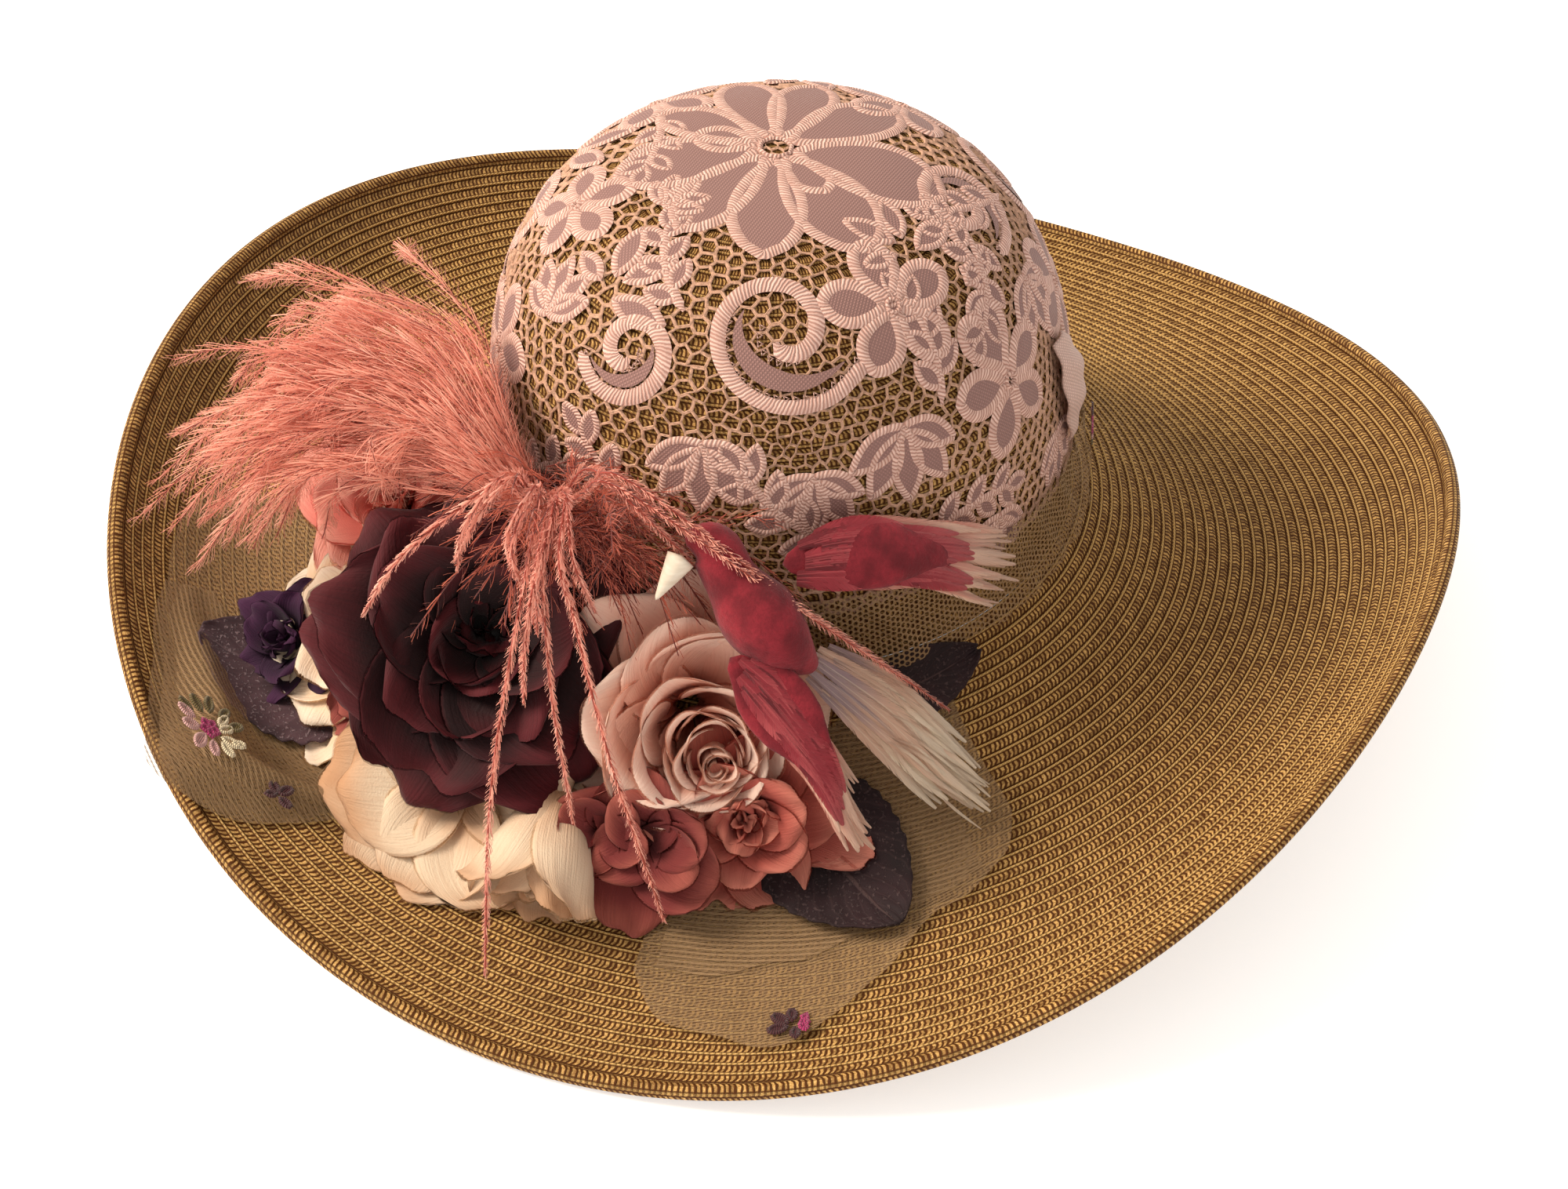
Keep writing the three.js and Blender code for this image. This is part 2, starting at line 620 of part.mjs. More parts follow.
// Ostrich plume: locks of herl that rise from one root, and fan out or droop over the flowers
const plumeRoot = [-40, -109, 54];
const plumeTwist = 143;
const herl = 4;
const plumeLocks = [
  { via: [-88, -62, 76], end: [-160, 24, 38], thick: 7 },
  { via: [-92, -60, 74], end: [-178, -16, 38], thick: 9 },
  { via: [-98, -66, 68], end: [-182, -42, 26], thick: 9 },
  { via: [-104, -76, 60], end: [-174, -88, 16], thick: 9 },
  { via: [-106, -86, 56], end: [-170, -116, 12], thick: 7 },
  { via: [-104, -92, 46], end: [-142, -122, 2], thick: 5 },
  { via: [-84, -64, 82], end: [-140, -30, 58], thick: 9 },
  { via: [-90, -74, 72], end: [-134, -66, 50], thick: 8 },
  { via: [-37, -124, 72], end: [-22, -208, -38], thick: 3.4 },
  { via: [-35, -126, 70], end: [-10, -164, -12], thick: 3.4 },
  { via: [-30, -127, 69], end: [24, -177, -34], thick: 3.4 },
  { via: [-52, -118, 72], end: [-89, -138, 24], thick: 3.4 },
  { via: [-41, -120, 74], end: [-42, -138, 46], thick: 4 },
  { via: [-26, -119, 72], end: [-8, -128, 60], thick: 5 },
  { via: [-4, -122, 84], end: [74, -96, 14], thick: 3.4 },
  { via: [-2, -119, 86], end: [85, -90, 0], thick: 3.4 },
  { via: [-18, -104, 80], end: [28, -98, 70], thick: 8 },
];

function plumeBody(grow) {
  const rootRadius = 11;
  const spread = 5;
  const riseBow = vector(0, -2, 6);
  const fallBow = { stout: vector(0, -5, 4), slim: vector(0, -5, 9) };
  const fallShare = 0.55;
  const steps = 5;
  const fatAt = 0.7;
  const tipThinning = 0.6;
  const ball = new THREE.IcosahedronGeometry(rootRadius + grow, 1).translate(...plumeRoot);
  ball.deleteAttribute("normal");
  ball.deleteAttribute("uv");
  const head = solidOf(ball);
  const locks = plumeLocks.map((lock, index) => {
    const via = vector(...lock.via);
    const end = vector(...lock.end);
    const aside = vector(wave(1, index * plumeTwist), -0.3, wave(1, index * plumeTwist + 90)).multiplyScalar(spread);
    const root = vector(...plumeRoot).add(aside);
    const rise = root.clone().lerp(via, 0.5).add(riseBow);
    const stout = lock.thick > herl;
    const fall = via.clone().lerp(end, fallShare).add(stout ? fallBow.stout : fallBow.slim);
    const swell = (share) => (1 + Math.sin(Math.PI * share ** fatAt)) / 2;
    const thick = (share) => lock.thick * swell(share) * (1 - tipThinning * share) + grow;
    return solidOf(bodyOfTube([root, rise, via, fall, end], thick, stout ? 4 : 3, steps));
  });
  return wasm.Manifold.union([head, ...locks]);
}

// The whole hat

function named(name, geometry, look) {
  const mesh = new THREE.Mesh(geometry, new THREE.MeshStandardMaterial(look));
  mesh.name = name;
  return mesh;
}

const hat = new THREE.Group();

hat.add(named("crown", strawCrown(), paint.straw));
hat.add(named("brim", strawBrim(), paint.straw));
hat.add(named("brim_edge_roll", edgeRoll(), paint.strawEdge));
hat.add(named("lace_cover", laceCover(), paint.lace));
hat.add(named("lace_flap", laceFlap(), paint.lace));
hat.add(named("net_band", netBand(), paint.tulle));
hat.add(named("net_veil_front", drape(frontVeil, 0), paint.tulle));
hat.add(named("net_veil_left", drape(leftVeil, 0), paint.tulle));

const bandTop = lace.lift + lace.thickness + gap + band.footLift + band.wave + band.thickness + gap;
const ground = groundUnderFlowers(layer.flowers);
const veilRooms = [frontVeil, leftVeil].map((rows) => solidOf(drape(rows, clearance)));
const leafRooms = leaves.map((leaf) => solidOf(leafBody(leaf, clearance)));
const crownBlock = crownUnderTrim(bandTop);
const bird = solidOf(birdBody(0)).subtract(crownBlock);
const birdRoom = solidOf(birdBody(clearance));
const beak = solidOf(beakBody(0)).subtract(birdRoom);
const wingRooms = wings.map((wing) => solidOf(wingBody(wing, clearance)));
const plumeRoom = plumeBody(clearance);
const plume = without(plumeBody(0), [crownBlock, ground, birdRoom]);
const trimRoom = wasm.Manifold.union([
  ...wingRooms, ...veilRooms, ...leafRooms, plumeRoom, birdRoom, solidOf(beakBody(clearance)),
]);

for (const leaf of leaves) {
  const cut = without(solidOf(leafBody(leaf, 0)), [...veilRooms, crownBlock]);
  hat.add(named(leaf.name, geometryOf(mainPiece(cut)), leaf.color));
}

hat.add(named("bird_body", geometryOf(mainPiece(bird)), paint.bird));
hat.add(named("bird_beak", geometryOf(mainPiece(beak)), paint.beak));
wings.forEach((wing, index) => {
  const rooms = [birdRoom, crownBlock, ground, plumeRoom, ...wingRooms.slice(0, index)];
  hat.add(named(wing.name, geometryOf(mainPiece(without(solidOf(wingBody(wing, 0)), rooms))), wing.color));
});
hat.add(named("plume", geometryOf(mainPiece(plume, 0.35)), paint.plume));
for (const flower of flowers) {
  const whole = trimToNeighbours(solidOf(flowerBody(flower)), flower);
  const seated = without(whole, [ground, crownBlock, trimRoom]);
  hat.add(named(flower.name, geometryOf(mainPiece(seated)), flower.color));
}

// The origin is the middle of the hat's footprint, on the surface that it rests on
const extent = new THREE.Box3().setFromObject(hat, true);
const centre = extent.getCenter(new THREE.Vector3());
hat.position.set(-centre.x, -centre.y, -extent.min.z);

export default hat;
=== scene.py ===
"""Dresses the tea party hat: braided straw, corded lace, tulle, silk flowers, leaves, plume and bird.

Sizes are in millimetres in the hat's own frame. Its origin is the middle of the crown's foot, its front
is -Y, and angles are in degrees round +Z from +X. A run is a distance along the brim from the crown, and a
rise goes from 0 degrees at the crown's foot to 90 at its top. Meshes are made in metres in the row frame.
"""

import math

import bmesh
import bpy
import numpy as np
from mathutils import Matrix, Vector


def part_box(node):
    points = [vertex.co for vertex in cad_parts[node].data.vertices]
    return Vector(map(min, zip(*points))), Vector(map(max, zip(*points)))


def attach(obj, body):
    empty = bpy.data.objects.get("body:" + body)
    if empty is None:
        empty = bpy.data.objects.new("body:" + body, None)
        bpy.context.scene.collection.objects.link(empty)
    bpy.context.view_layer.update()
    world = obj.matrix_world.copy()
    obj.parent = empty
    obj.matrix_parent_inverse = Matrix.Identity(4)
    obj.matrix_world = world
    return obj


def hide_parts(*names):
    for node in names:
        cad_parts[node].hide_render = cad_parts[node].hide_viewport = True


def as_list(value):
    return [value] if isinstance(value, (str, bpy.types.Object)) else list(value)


bl_info = {
    "name": "Tea Party Hat",
    "version": (1, 0, 0),
    "blender": (4, 5, 0),
    "location": "View3D > Sidebar > Hat",
    "description": "Makes a straw hat with its lace, tulle, silk flowers, plume and bird",
    "category": "Add Mesh",
}

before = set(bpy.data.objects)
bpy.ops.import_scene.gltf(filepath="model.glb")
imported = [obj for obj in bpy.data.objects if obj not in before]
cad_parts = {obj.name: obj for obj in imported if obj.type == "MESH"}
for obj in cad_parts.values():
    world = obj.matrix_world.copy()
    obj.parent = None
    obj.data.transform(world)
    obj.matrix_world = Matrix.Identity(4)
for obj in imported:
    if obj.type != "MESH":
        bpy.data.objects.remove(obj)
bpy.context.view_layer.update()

MM = 0.001
BODY = "root"
STRAW = 2.0
CROWN = {
    "height": 119.5, "narrow": 89.3, "wide": 97.3, "turn": 159.2, "roundness": 3.2, "lean": (-10.7, -4.4),
}
BRIM = {"run": 141.4, "curl": 1.63, "rows": 34}
ROLL = {"width": 5.0, "height": 4.4}
SLOPE_AT_CROWN = {"mean": -33.2, "twice": 4.7}
SLOPE_AT_EDGE = {
    "mean": 41.3, "once_cos": 1.05, "once_sin": -3.37, "twice": 27.8, "thrice_cos": 2.12, "thrice_sin": -3.37,
}
BRAID_END = BRIM["run"] - ROLL["width"]
CROWN_GIRTH = 2 * math.pi * CROWN["narrow"]
# The crown's facets in the part: the middle of each, round it, and the rise of each ring
CROWN_FACETS = np.arange(0.5, 36) * 10
CROWN_RINGS = np.array([0, 4.4, 10, 18, 27, 37, 48, 60, 74])
# Points round each piece that goes all the way round
ROUND = {"brim": 241, "crown": 145, "edge": 361, "band": 541}


# Shape of the straw, as the part's source has it


def oval_radius(angle, grow=0.0):
    """Radius of the crown's oval, grown by some millimetres."""
    turned = np.radians(angle - CROWN["turn"])
    return 1 / np.hypot(np.cos(turned) / (CROWN["narrow"] + grow), np.sin(turned) / (CROWN["wide"] + grow))


def crown_point(angle, rise, lift=0.0):
    """A point of the crown, lifted off its face."""
    power = 2 / CROWN["roundness"]
    reach = np.cos(np.radians(rise)) ** power * oval_radius(angle, lift)
    high = np.sin(np.radians(rise)) ** power
    x = reach * np.cos(np.radians(angle)) + CROWN["lean"][0] * high
    y = reach * np.sin(np.radians(angle)) + CROWN["lean"][1] * high
    return np.stack(np.broadcast_arrays(x, y, high * (CROWN["height"] + lift)), -1)


def slope_at(angle, run):
    """The brim's slope in radians."""
    turn = np.radians(angle)
    inner = SLOPE_AT_CROWN["mean"] + SLOPE_AT_CROWN["twice"] * np.cos(2 * turn)
    outer = (
        SLOPE_AT_EDGE["mean"]
        + SLOPE_AT_EDGE["once_cos"] * np.cos(turn) + SLOPE_AT_EDGE["once_sin"] * np.sin(turn)
        + SLOPE_AT_EDGE["twice"] * np.cos(2 * turn)
        + SLOPE_AT_EDGE["thrice_cos"] * np.cos(3 * turn) + SLOPE_AT_EDGE["thrice_sin"] * np.sin(3 * turn)
    )
    return np.radians(inner + (outer - inner) * np.maximum(run / BRIM["run"], 0) ** BRIM["curl"])


def brim_point(angle, run, lift=0.0):
    """A point of the brim's upper face, or of a face lifted square off it."""
    angle, run, lift = np.broadcast_arrays(*(np.asarray(value, float) for value in (angle, run, lift)))
    steps = 24
    reach = oval_radius(angle)
    height = np.zeros_like(reach)
    for step in range(steps):
        slope = slope_at(angle, run * (step + 0.5) / steps)
        reach = reach + np.cos(slope) * run / steps
        height = height + np.sin(slope) * run / steps
    slope = slope_at(angle, run)
    reach = reach - lift * np.sin(slope)
    height = height + lift * np.cos(slope)
    return np.stack([reach * np.cos(np.radians(angle)), reach * np.sin(np.radians(angle)), height], -1)


def row_shift():
    """The way from the hat's own origin to the row frame's, from the crown's lowest corner."""
    corner = crown_point(CROWN_FACETS[:, None], CROWN_RINGS[None, :]).reshape(-1, 3).min(0)
    return np.array(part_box("crown")[0]) / MM - corner


SHIFT = row_shift()
FLOOR = -SHIFT[2]


def on_floor(points):
    """Points with none below the surface that the hat rests on."""
    points[..., 2] = np.maximum(points[..., 2], FLOOR)
    return points


def over_brim(points, clear):
    """Points lifted to stay over the brim's face."""
    shape = points.shape
    lifted = points.reshape(-1, 3).copy()
    runs = np.linspace(0, BRIM["run"], 25)
    angle = np.degrees(np.arctan2(lifted[:, 1], lifted[:, 0]))
    face = brim_point(angle[:, None], runs[None, :])
    reach = np.hypot(face[..., 0], face[..., 1])
    own = np.hypot(lifted[:, 0], lifted[:, 1])
    ground = np.array([np.interp(*row) for row in zip(own, reach, face[..., 2])]) + clear
    lifted[:, 2] = np.where(own > reach[:, 0], np.maximum(lifted[:, 2], ground), lifted[:, 2])
    return on_floor(lifted).reshape(shape)


def turned(points, degrees):
    """Flat points turned round their origin."""
    cos, sin = math.cos(math.radians(degrees)), math.sin(math.radians(degrees))
    return np.asarray(points) @ np.array([[cos, sin], [-sin, cos]])


def unit(vectors):
    """Vectors of length one."""
    vectors = np.asarray(vectors, float)
    return vectors / np.maximum(np.linalg.norm(vectors, axis=-1, keepdims=True), 1e-9)


def smooth_path(points, count):
    """Evenly spaced points on a smooth curve through a few."""
    points = np.asarray(points, float)
    ends = np.vstack([2 * points[0] - points[1], points, 2 * points[-1] - points[-2]])
    dense = []
    for before, start, stop, after in zip(ends, ends[1:], ends[2:], ends[3:]):
        t = np.linspace(0, 1, 24, endpoint=False)[:, None]
        dense.append(
            0.5 * (2 * start + (stop - before) * t + (2 * before - 5 * start + 4 * stop - after) * t**2
                   + (3 * start - before - 3 * stop + after) * t**3)
        )
    dense = np.vstack([*dense, points[-1:]])
    return resampled(dense, count)


def resampled(points, count):
    """The same path with evenly spaced points."""
    along = np.concatenate([[0], np.cumsum(np.linalg.norm(np.diff(points, axis=0), axis=1))])
    wanted = np.linspace(0, along[-1], count)
    return np.stack([np.interp(wanted, along, axis) for axis in points.T], -1)


def paired(first, second):
    """Two coordinates as one map."""
    return np.stack(np.broadcast_arrays(first, second), -1)


def path_length(points):
    """Length of a path."""
    return float(np.linalg.norm(np.diff(points, axis=0), axis=1).sum())


# Meshes


# Points closer than this many metres become one
WELD = 2e-6


class Patchwork:
    """Grids of points sewn into one mesh, with a pattern map in its faces and a tint at its points."""

    def __init__(self):
        self.points = []
        self.tints = []
        self.faces = []
        self.maps = []
        self.total = 0

    def grid(self, points, pattern=None, tint=0.0, flip=False):
        """Adds a grid. A seam or a pole is written twice, and the weld joins it."""
        points = np.asarray(points, float)
        rows, columns = points.shape[:2]
        if pattern is None:
            pattern = np.zeros((rows, columns, 2))
        row, column = np.meshgrid(np.arange(rows - 1), np.arange(columns - 1), indexing="ij")
        corners = [(row, column), (row, column + 1), (row + 1, column + 1), (row + 1, column)]
        if flip:
            corners.reverse()
        self.points.append(points.reshape(-1, 3))
        self.tints.append(np.broadcast_to(tint, (rows, columns)).reshape(-1))
        self.faces.append(np.stack([self.total + a * columns + b for a, b in corners], -1).reshape(-1, 4))
        self.maps.append(np.stack([pattern[a, b] for a, b in corners], -2).reshape(-1, 2))
        self.total += rows * columns

    def piece(self, name, material, slot, replaced=(), weld=True, thickness=0.0):
        """Makes the mesh's object, which rides on the hat."""
        points = (np.vstack(self.points) + SHIFT) * MM
        mesh = bpy.data.meshes.new(name)
        mesh.from_pydata(points.tolist(), [], np.vstack(self.faces).tolist())
        layer = mesh.uv_layers.new(name="pattern")
        layer.data.foreach_set("uv", np.vstack(self.maps).ravel())
        tint = mesh.attributes.new("tint", "FLOAT", "POINT")
        tint.data.foreach_set("value", np.concatenate(self.tints).astype(float))
        mesh.polygons.foreach_set("use_smooth", [True] * len(mesh.polygons))
        if weld:
            work = bmesh.new()
            work.from_mesh(mesh)
            bmesh.ops.remove_doubles(work, verts=work.verts, dist=WELD)
            work.to_mesh(mesh)
            work.free()
        mesh.materials.append(material)
        piece = linked(name, mesh)
        if thickness:
            wall = piece.modifiers.new("wall", "SOLIDIFY")
            wall.thickness = thickness * MM
            wall.offset = 0
        return worn(piece, replaced)


def linked(name, data):
    """A new object in the scene."""
    thing = bpy.data.objects.new(name, data)
    bpy.context.scene.collection.objects.link(thing)
    return thing


def worn(piece, replaced=()):
    """Sets a finished piece on the hat."""
    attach(piece, BODY)
    if replaced:
        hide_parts(*replaced)
    return piece


# Materials


def srgb(red, green, blue):
    """A colour from its screen values, 0 to 255."""
    values = np.array([red, green, blue]) / 255
    linear = np.where(values > 0.04045, ((values + 0.055) / 1.055) ** 2.4, values / 12.92)
    return tuple(float(value) for value in linear)


def darker(color, share):
    """A colour with a share of its light."""
    return tuple(value * share for value in color)


class NodeMaker:
    """Short ways to add nodes to a tree."""

    def add(self, kind, inputs=None, output=0, **settings):
        """Adds a node. Its inputs are sockets or plain values."""
        node = self.tree.nodes.new(kind)
        for key, value in settings.items():
            setattr(node, key, value)
        for key, value in (inputs or {}).items():
            if isinstance(value, bpy.types.NodeSocket):
                self.tree.links.new(value, node.inputs[key])
            else:
                node.inputs[key].default_value = value
        return node.outputs[output]

    def math(self, operation, first, second=0.0):
        """One step of arithmetic."""
        return self.add("ShaderNodeMath", {0: first, 1: second}, operation=operation)

    def times(self, first, second):
        """Two values multiplied."""
        return self.math("MULTIPLY", first, second)

    def plus(self, first, second):
        """Two values added."""
        return self.math("ADD", first, second)

    def minus(self, first, second):
        """One value less another."""
        return self.math("SUBTRACT", first, second)


class Finish(NodeMaker):
    """A material and short ways to paint it."""

    def __init__(self, name, roughness=0.8, sheen=0.0, shine=0.3):
        self.material = bpy.data.materials.new(name)
        self.material.use_nodes = True
        self.tree = self.material.node_tree
        self.shader = self.tree.nodes["Principled BSDF"]
        self.shader.inputs["Roughness"].default_value = roughness
        self.shader.inputs["Sheen Weight"].default_value = sheen
        self.shader.inputs["Specular IOR Level"].default_value = shine

    def pattern(self):
        """The piece's own map, as its two coordinates."""
        split = self.tree.nodes.new("ShaderNodeSeparateXYZ")
        self.tree.links.new(self.add("ShaderNodeUVMap", uv_map="pattern"), split.inputs[0])
        return split.outputs[0], split.outputs[1]

    def tint(self):
        """The tint of the piece's points."""
        return self.add("ShaderNodeAttribute", output=2, attribute_name="tint")

    def place(self, scale=(1.0, 1.0, 1.0)):
        """Object coordinates, stretched."""
        spot = self.add("ShaderNodeTexCoord", output=3)
        return self.add("ShaderNodeMapping", {"Vector": spot, "Scale": scale})

    def vector(self, x, y, z=0.0):
        """Three values as a vector."""
        return self.add("ShaderNodeCombineXYZ", {0: x, 1: y, 2: z})

    def noise(self, vector, scale, detail=3.0, roughness=0.5):
        """Soft noise from 0 to 1."""
        inputs = {"Vector": vector, "Scale": scale, "Detail": detail, "Roughness": roughness}
        return self.add("ShaderNodeTexNoise", inputs)

    def chance(self, first, second, third=0.0):
        """One even chance for each of some whole places."""
        return self.add("ShaderNodeTexWhiteNoise", {"Vector": self.vector(first, second, third)})

    def span(self, value, low, high, start=0.0, stop=1.0):
        """A value's place between two limits, eased."""
        inputs = {0: value, 1: low, 2: high, 3: start, 4: stop}
        return self.add("ShaderNodeMapRange", inputs, interpolation_type="SMOOTHSTEP")

    def band(self, value, rise, fall):
        """1 between two eased limits and 0 past them."""
        return self.times(self.span(value, *rise), self.span(value, *fall, 1.0, 0.0))

    def mix(self, factor, first, second):
        """Two colours mixed."""
        inputs = {0: factor}
        for key, value in ((6, first), (7, second)):
            inputs[key] = value if isinstance(value, bpy.types.NodeSocket) else (*value, 1.0)
        return self.add("ShaderNodeMix", inputs, output=2, data_type="RGBA")

    def wave(self, value):
        """A sine of whole turns, from 0 to 1."""
        turns = self.times(value, 2 * math.pi)
        return self.math("MULTIPLY_ADD", self.math("SINE", turns), 0.5)

    def color(self, value):
        """Sets the colour."""
        socket = self.shader.inputs["Base Color"]
        if isinstance(value, bpy.types.NodeSocket):
            self.tree.links.new(value, socket)
        else:
            socket.default_value = (*value, 1.0)

    def bump(self, height, distance, strength=1.0):
        """Sets the relief, with its depth in millimetres."""
        inputs = {"Height": height, "Distance": distance * MM, "Strength": strength}
        normal = self.add("ShaderNodeBump", inputs)
        self.tree.links.new(normal, self.shader.inputs["Normal"])

    def thin(self, weight, color):
        """Lets light through a thin cloth."""
        cloth = self.add("ShaderNodeBsdfTranslucent", {"Color": (*color, 1.0)})
        both = self.add("ShaderNodeMixShader", {0: weight, 1: self.shader.outputs[0], 2: cloth})
        self.tree.links.new(both, self.tree.nodes["Material Output"].inputs[0])

    def holes(self, cover):
        """Makes it see-through where cover is 0."""
        self.tree.links.new(cover, self.shader.inputs["Alpha"])


# Settings


def color_setting(name, description, *screen):
    """A colour in the panel, from its screen values."""
    return bpy.props.FloatVectorProperty(
        name=name, description=description, subtype="COLOR", default=srgb(*screen)
    )


class StrawSettings(bpy.types.PropertyGroup):
    """The sewn straw braid."""

    stitch: bpy.props.FloatProperty(name="Stitch", description="Length of one plait stitch, in millimetres",
                                    default=1.7, min=0.5, max=5)
    ridge: bpy.props.FloatProperty(name="Ridge", default=0.9, min=0, max=2,
                                   description="Height of each row's edge strand, in millimetres")
    # The light straw colour is painted highlight on the strands and lit fibres; the dark straw colour is
    # painted shade between strands and stitches.
    light: color_setting("Light straw", "Colour of the straw's high strands", 228, 190, 124)
    middle: color_setting("Straw", "Colour of the plait", 184, 138, 76)
    dark: color_setting("Dark straw", "Colour between the strands", 74, 38, 8)


class LaceSettings(bpy.types.PropertyGroup):
    """The corded lace over the crown."""

    cord: bpy.props.FloatProperty(name="Cord", default=4.2, min=1, max=6,
                                  description="Width of a satin-stitched outline, in millimetres")
    cells: bpy.props.IntProperty(name="Cells", description="Fineness of the net ground",
                                 default=46, min=8, max=60)
    cord_color: color_setting("Cord colour", "Colour of the satin outlines", 230, 192, 178)
    fill_color: color_setting("Petal colour", "Colour inside the outlines", 164, 122, 114)
    net_color: color_setting("Net colour", "Colour of the net ground", 204, 160, 134)


class StageSettings(bpy.types.PropertyGroup):
    """The camera."""

    azimuth: bpy.props.FloatProperty(name="Azimuth", description="Camera's way round the hat",
                                     subtype="ANGLE", unit="ROTATION", default=math.radians(17.3))
    elevation: bpy.props.FloatProperty(name="Elevation", description="Camera's height over the horizon",
                                       subtype="ANGLE", unit="ROTATION", default=math.radians(43.98))
    roll: bpy.props.FloatProperty(name="Roll", description="Camera's turn round its own line of sight",
                                  subtype="ANGLE", unit="ROTATION", default=math.radians(3.13))
    distance: bpy.props.FloatProperty(name="Distance", description="From the camera to what it aims at",
                                      subtype="DISTANCE", unit="LENGTH", default=0.85)
    lens: bpy.props.FloatProperty(name="Lens", description="Focal length in millimetres", default=61.81)


# Straw


# Shares of a row's width: its bright strand, a painted highlight along the row's raised edge; its plait, with
# painted shade in the groove between rows outside it; its seam, a painted shaded line in the dip beside the
# strand; and its fold
STRAND = ((0.03, 0.08), (0.19, 0.25))
PLAIT = ((0.0, 0.04), (0.86, 0.96))
SEAM = 0.28
FOLD = 0.64
PALEST = 0.95


def straw_finish(name, settings, strand_highlight=1.0, paler=1.0):
    """Plaited straw: a strand along each row's raised edge in painted highlight, and slanting stitches beside
    it, with painted shade between the stitches, along the seam and in the groove between rows.
    """
    finish = Finish(name, roughness=0.6, shine=0.12)
    # paler scales every colour of this copy of the straw, so the same braid is drawn lighter or darker:
    # painted light and shade.
    light, middle, dark = (
        tuple(min(value * paler, PALEST) for value in color)
        for color in (settings.light, settings.middle, settings.dark)
    )
    along, rows = finish.pattern()
    across = finish.math("FRACT", rows)
    # strand marks the painted highlight along each row's raised edge; gap is 0 in the groove between rows and
    # seam is low in the dip beside the strand, and there the colour turns to painted shade.
    strand = finish.band(across, *STRAND)
    gap = finish.band(across, *PLAIT)
    seam = finish.span(finish.math("ABSOLUTE", finish.minus(across, SEAM)), 0.02, 0.07, 0.1, 1.0)
    fold = finish.math("ABSOLUTE", finish.minus(across, FOLD))
    slope = finish.plus(finish.times(across, 0.9), finish.times(fold, 0.8))
    slant = finish.plus(along, slope)
    uneven = finish.noise(finish.vector(finish.times(along, 0.7), rows), 1.1, 2.0)
    worked = finish.plus(slant, finish.times(uneven, 0.9))
    stitch = finish.wave(worked)
    each = finish.chance(
        finish.math("FLOOR", finish.plus(worked, 0.25)), finish.math("FLOOR", rows),
        finish.math("SIGN", finish.minus(across, 0.6)),
    )
    twist = finish.wave(finish.plus(along, finish.times(across, 6.0)))
    # groove darkens the crease at the fold and plait is 0 between the slanting stitches: both are painted
    # shade.
    groove = finish.span(fold, 0.0, 0.05, 0.7, 1.0)
    plait = finish.times(finish.span(stitch, 0.12, 0.75), groove)
    patchy = finish.noise(finish.vector(finish.times(along, 0.1), rows), 1.7, 5.0, 0.7)
    lengthwise = finish.vector(finish.times(along, 2.0), finish.times(rows, 12.0))
    fibre = finish.noise(lengthwise, 1.7, 3.0)
    closed = finish.times(gap, seam)
    worn_patches = finish.span(patchy, 0.34, 0.66, 0.65, 1.2)
    varied = finish.times(worn_patches, finish.span(each, 0.0, 1.0, 0.45, 1.2))
    # lit is the painted light: where it is 0 the colour is the dark straw colour as painted shade, and the
    # light fibre flecks show only where it is lit.
    lit = finish.times(finish.times(plait, closed), varied)
    body = finish.mix(lit, dark, middle)
    flecked = finish.mix(finish.times(finish.span(fibre, 0.42, 0.72), lit), body, light)
    # The strand's colour runs up to the light straw colour, a painted highlight, with the twist and in
    # patches; the strand's share sets how much of it the strand gets.
    bright = finish.mix(finish.span(twist, 0.1, 0.7), middle, light)
    shaded = finish.mix(finish.span(patchy, 0.35, 0.6, 0.6, 1.0), middle, bright)
    finish.color(finish.mix(finish.times(strand, strand_highlight), flecked, shaded))
    relief = finish.plus(finish.times(plait, closed), finish.times(fibre, 0.3))
    high = finish.plus(relief, finish.times(finish.times(strand, twist), 0.6))
    finish.bump(high, 0.5, 0.8)
    return finish.material


ROW_PROFILE = ((0.0, 0.0), (0.06, 0.8), (0.17, 1.0), (0.27, 0.45), (0.62, 0.55), (0.97, 0.2))


def braid_rows(rows, ridge):
    """Each step's place across the rows, and its lift."""
    places = [(row + share, lift * ridge) for row in range(rows) for share, lift in ROW_PROFILE]
    return np.array([*places, (rows, 0.0)])


def stitch_map(angles, places, girth, stitch):
    """A braid's map: stitches along each row, and rows across."""
    stitches = round(girth / stitch)
    return paired(angles[None, :] / 360 * stitches, places[:, None])


class HAT_OT_brim(bpy.types.Operator):
    """Makes the brim of sewn straw braid"""

    bl_idname = "hat.brim"
    bl_label = "Brim"

    def execute(self, context):
        settings = context.scene.hat_straw
        angles = np.linspace(0, 360, ROUND["brim"])
        top = braid_rows(BRIM["rows"], settings.ridge)
        pitch = BRAID_END / BRIM["rows"]
        patch = Patchwork()
        upper = brim_point(angles[None, :], top[:, :1] * pitch, top[:, 1:])
        patch.grid(on_floor(upper), braid_map(angles, top[:, 0], pitch, settings.stitch), flip=True)
        under = np.linspace(0, BRIM["rows"], BRIM["rows"] * 2 + 1)
        hollow = np.where(np.arange(len(under)) % 2 == 0, 0.35, 0.0)
        lower = brim_point(angles[None, :], under[:, None] * pitch, -STRAW + hollow[:, None])
        patch.grid(on_floor(lower), braid_map(angles, under, pitch, settings.stitch))
        for edge in (0, -1):
            rim = np.stack([upper[edge], lower[edge]])
            patch.grid(rim, np.zeros((2, len(angles), 2)), flip=edge == -1)
        material = straw_finish("straw braid", settings)
        patch.piece("straw_brim", material, "straw", ["brim"])
        return {"FINISHED"}


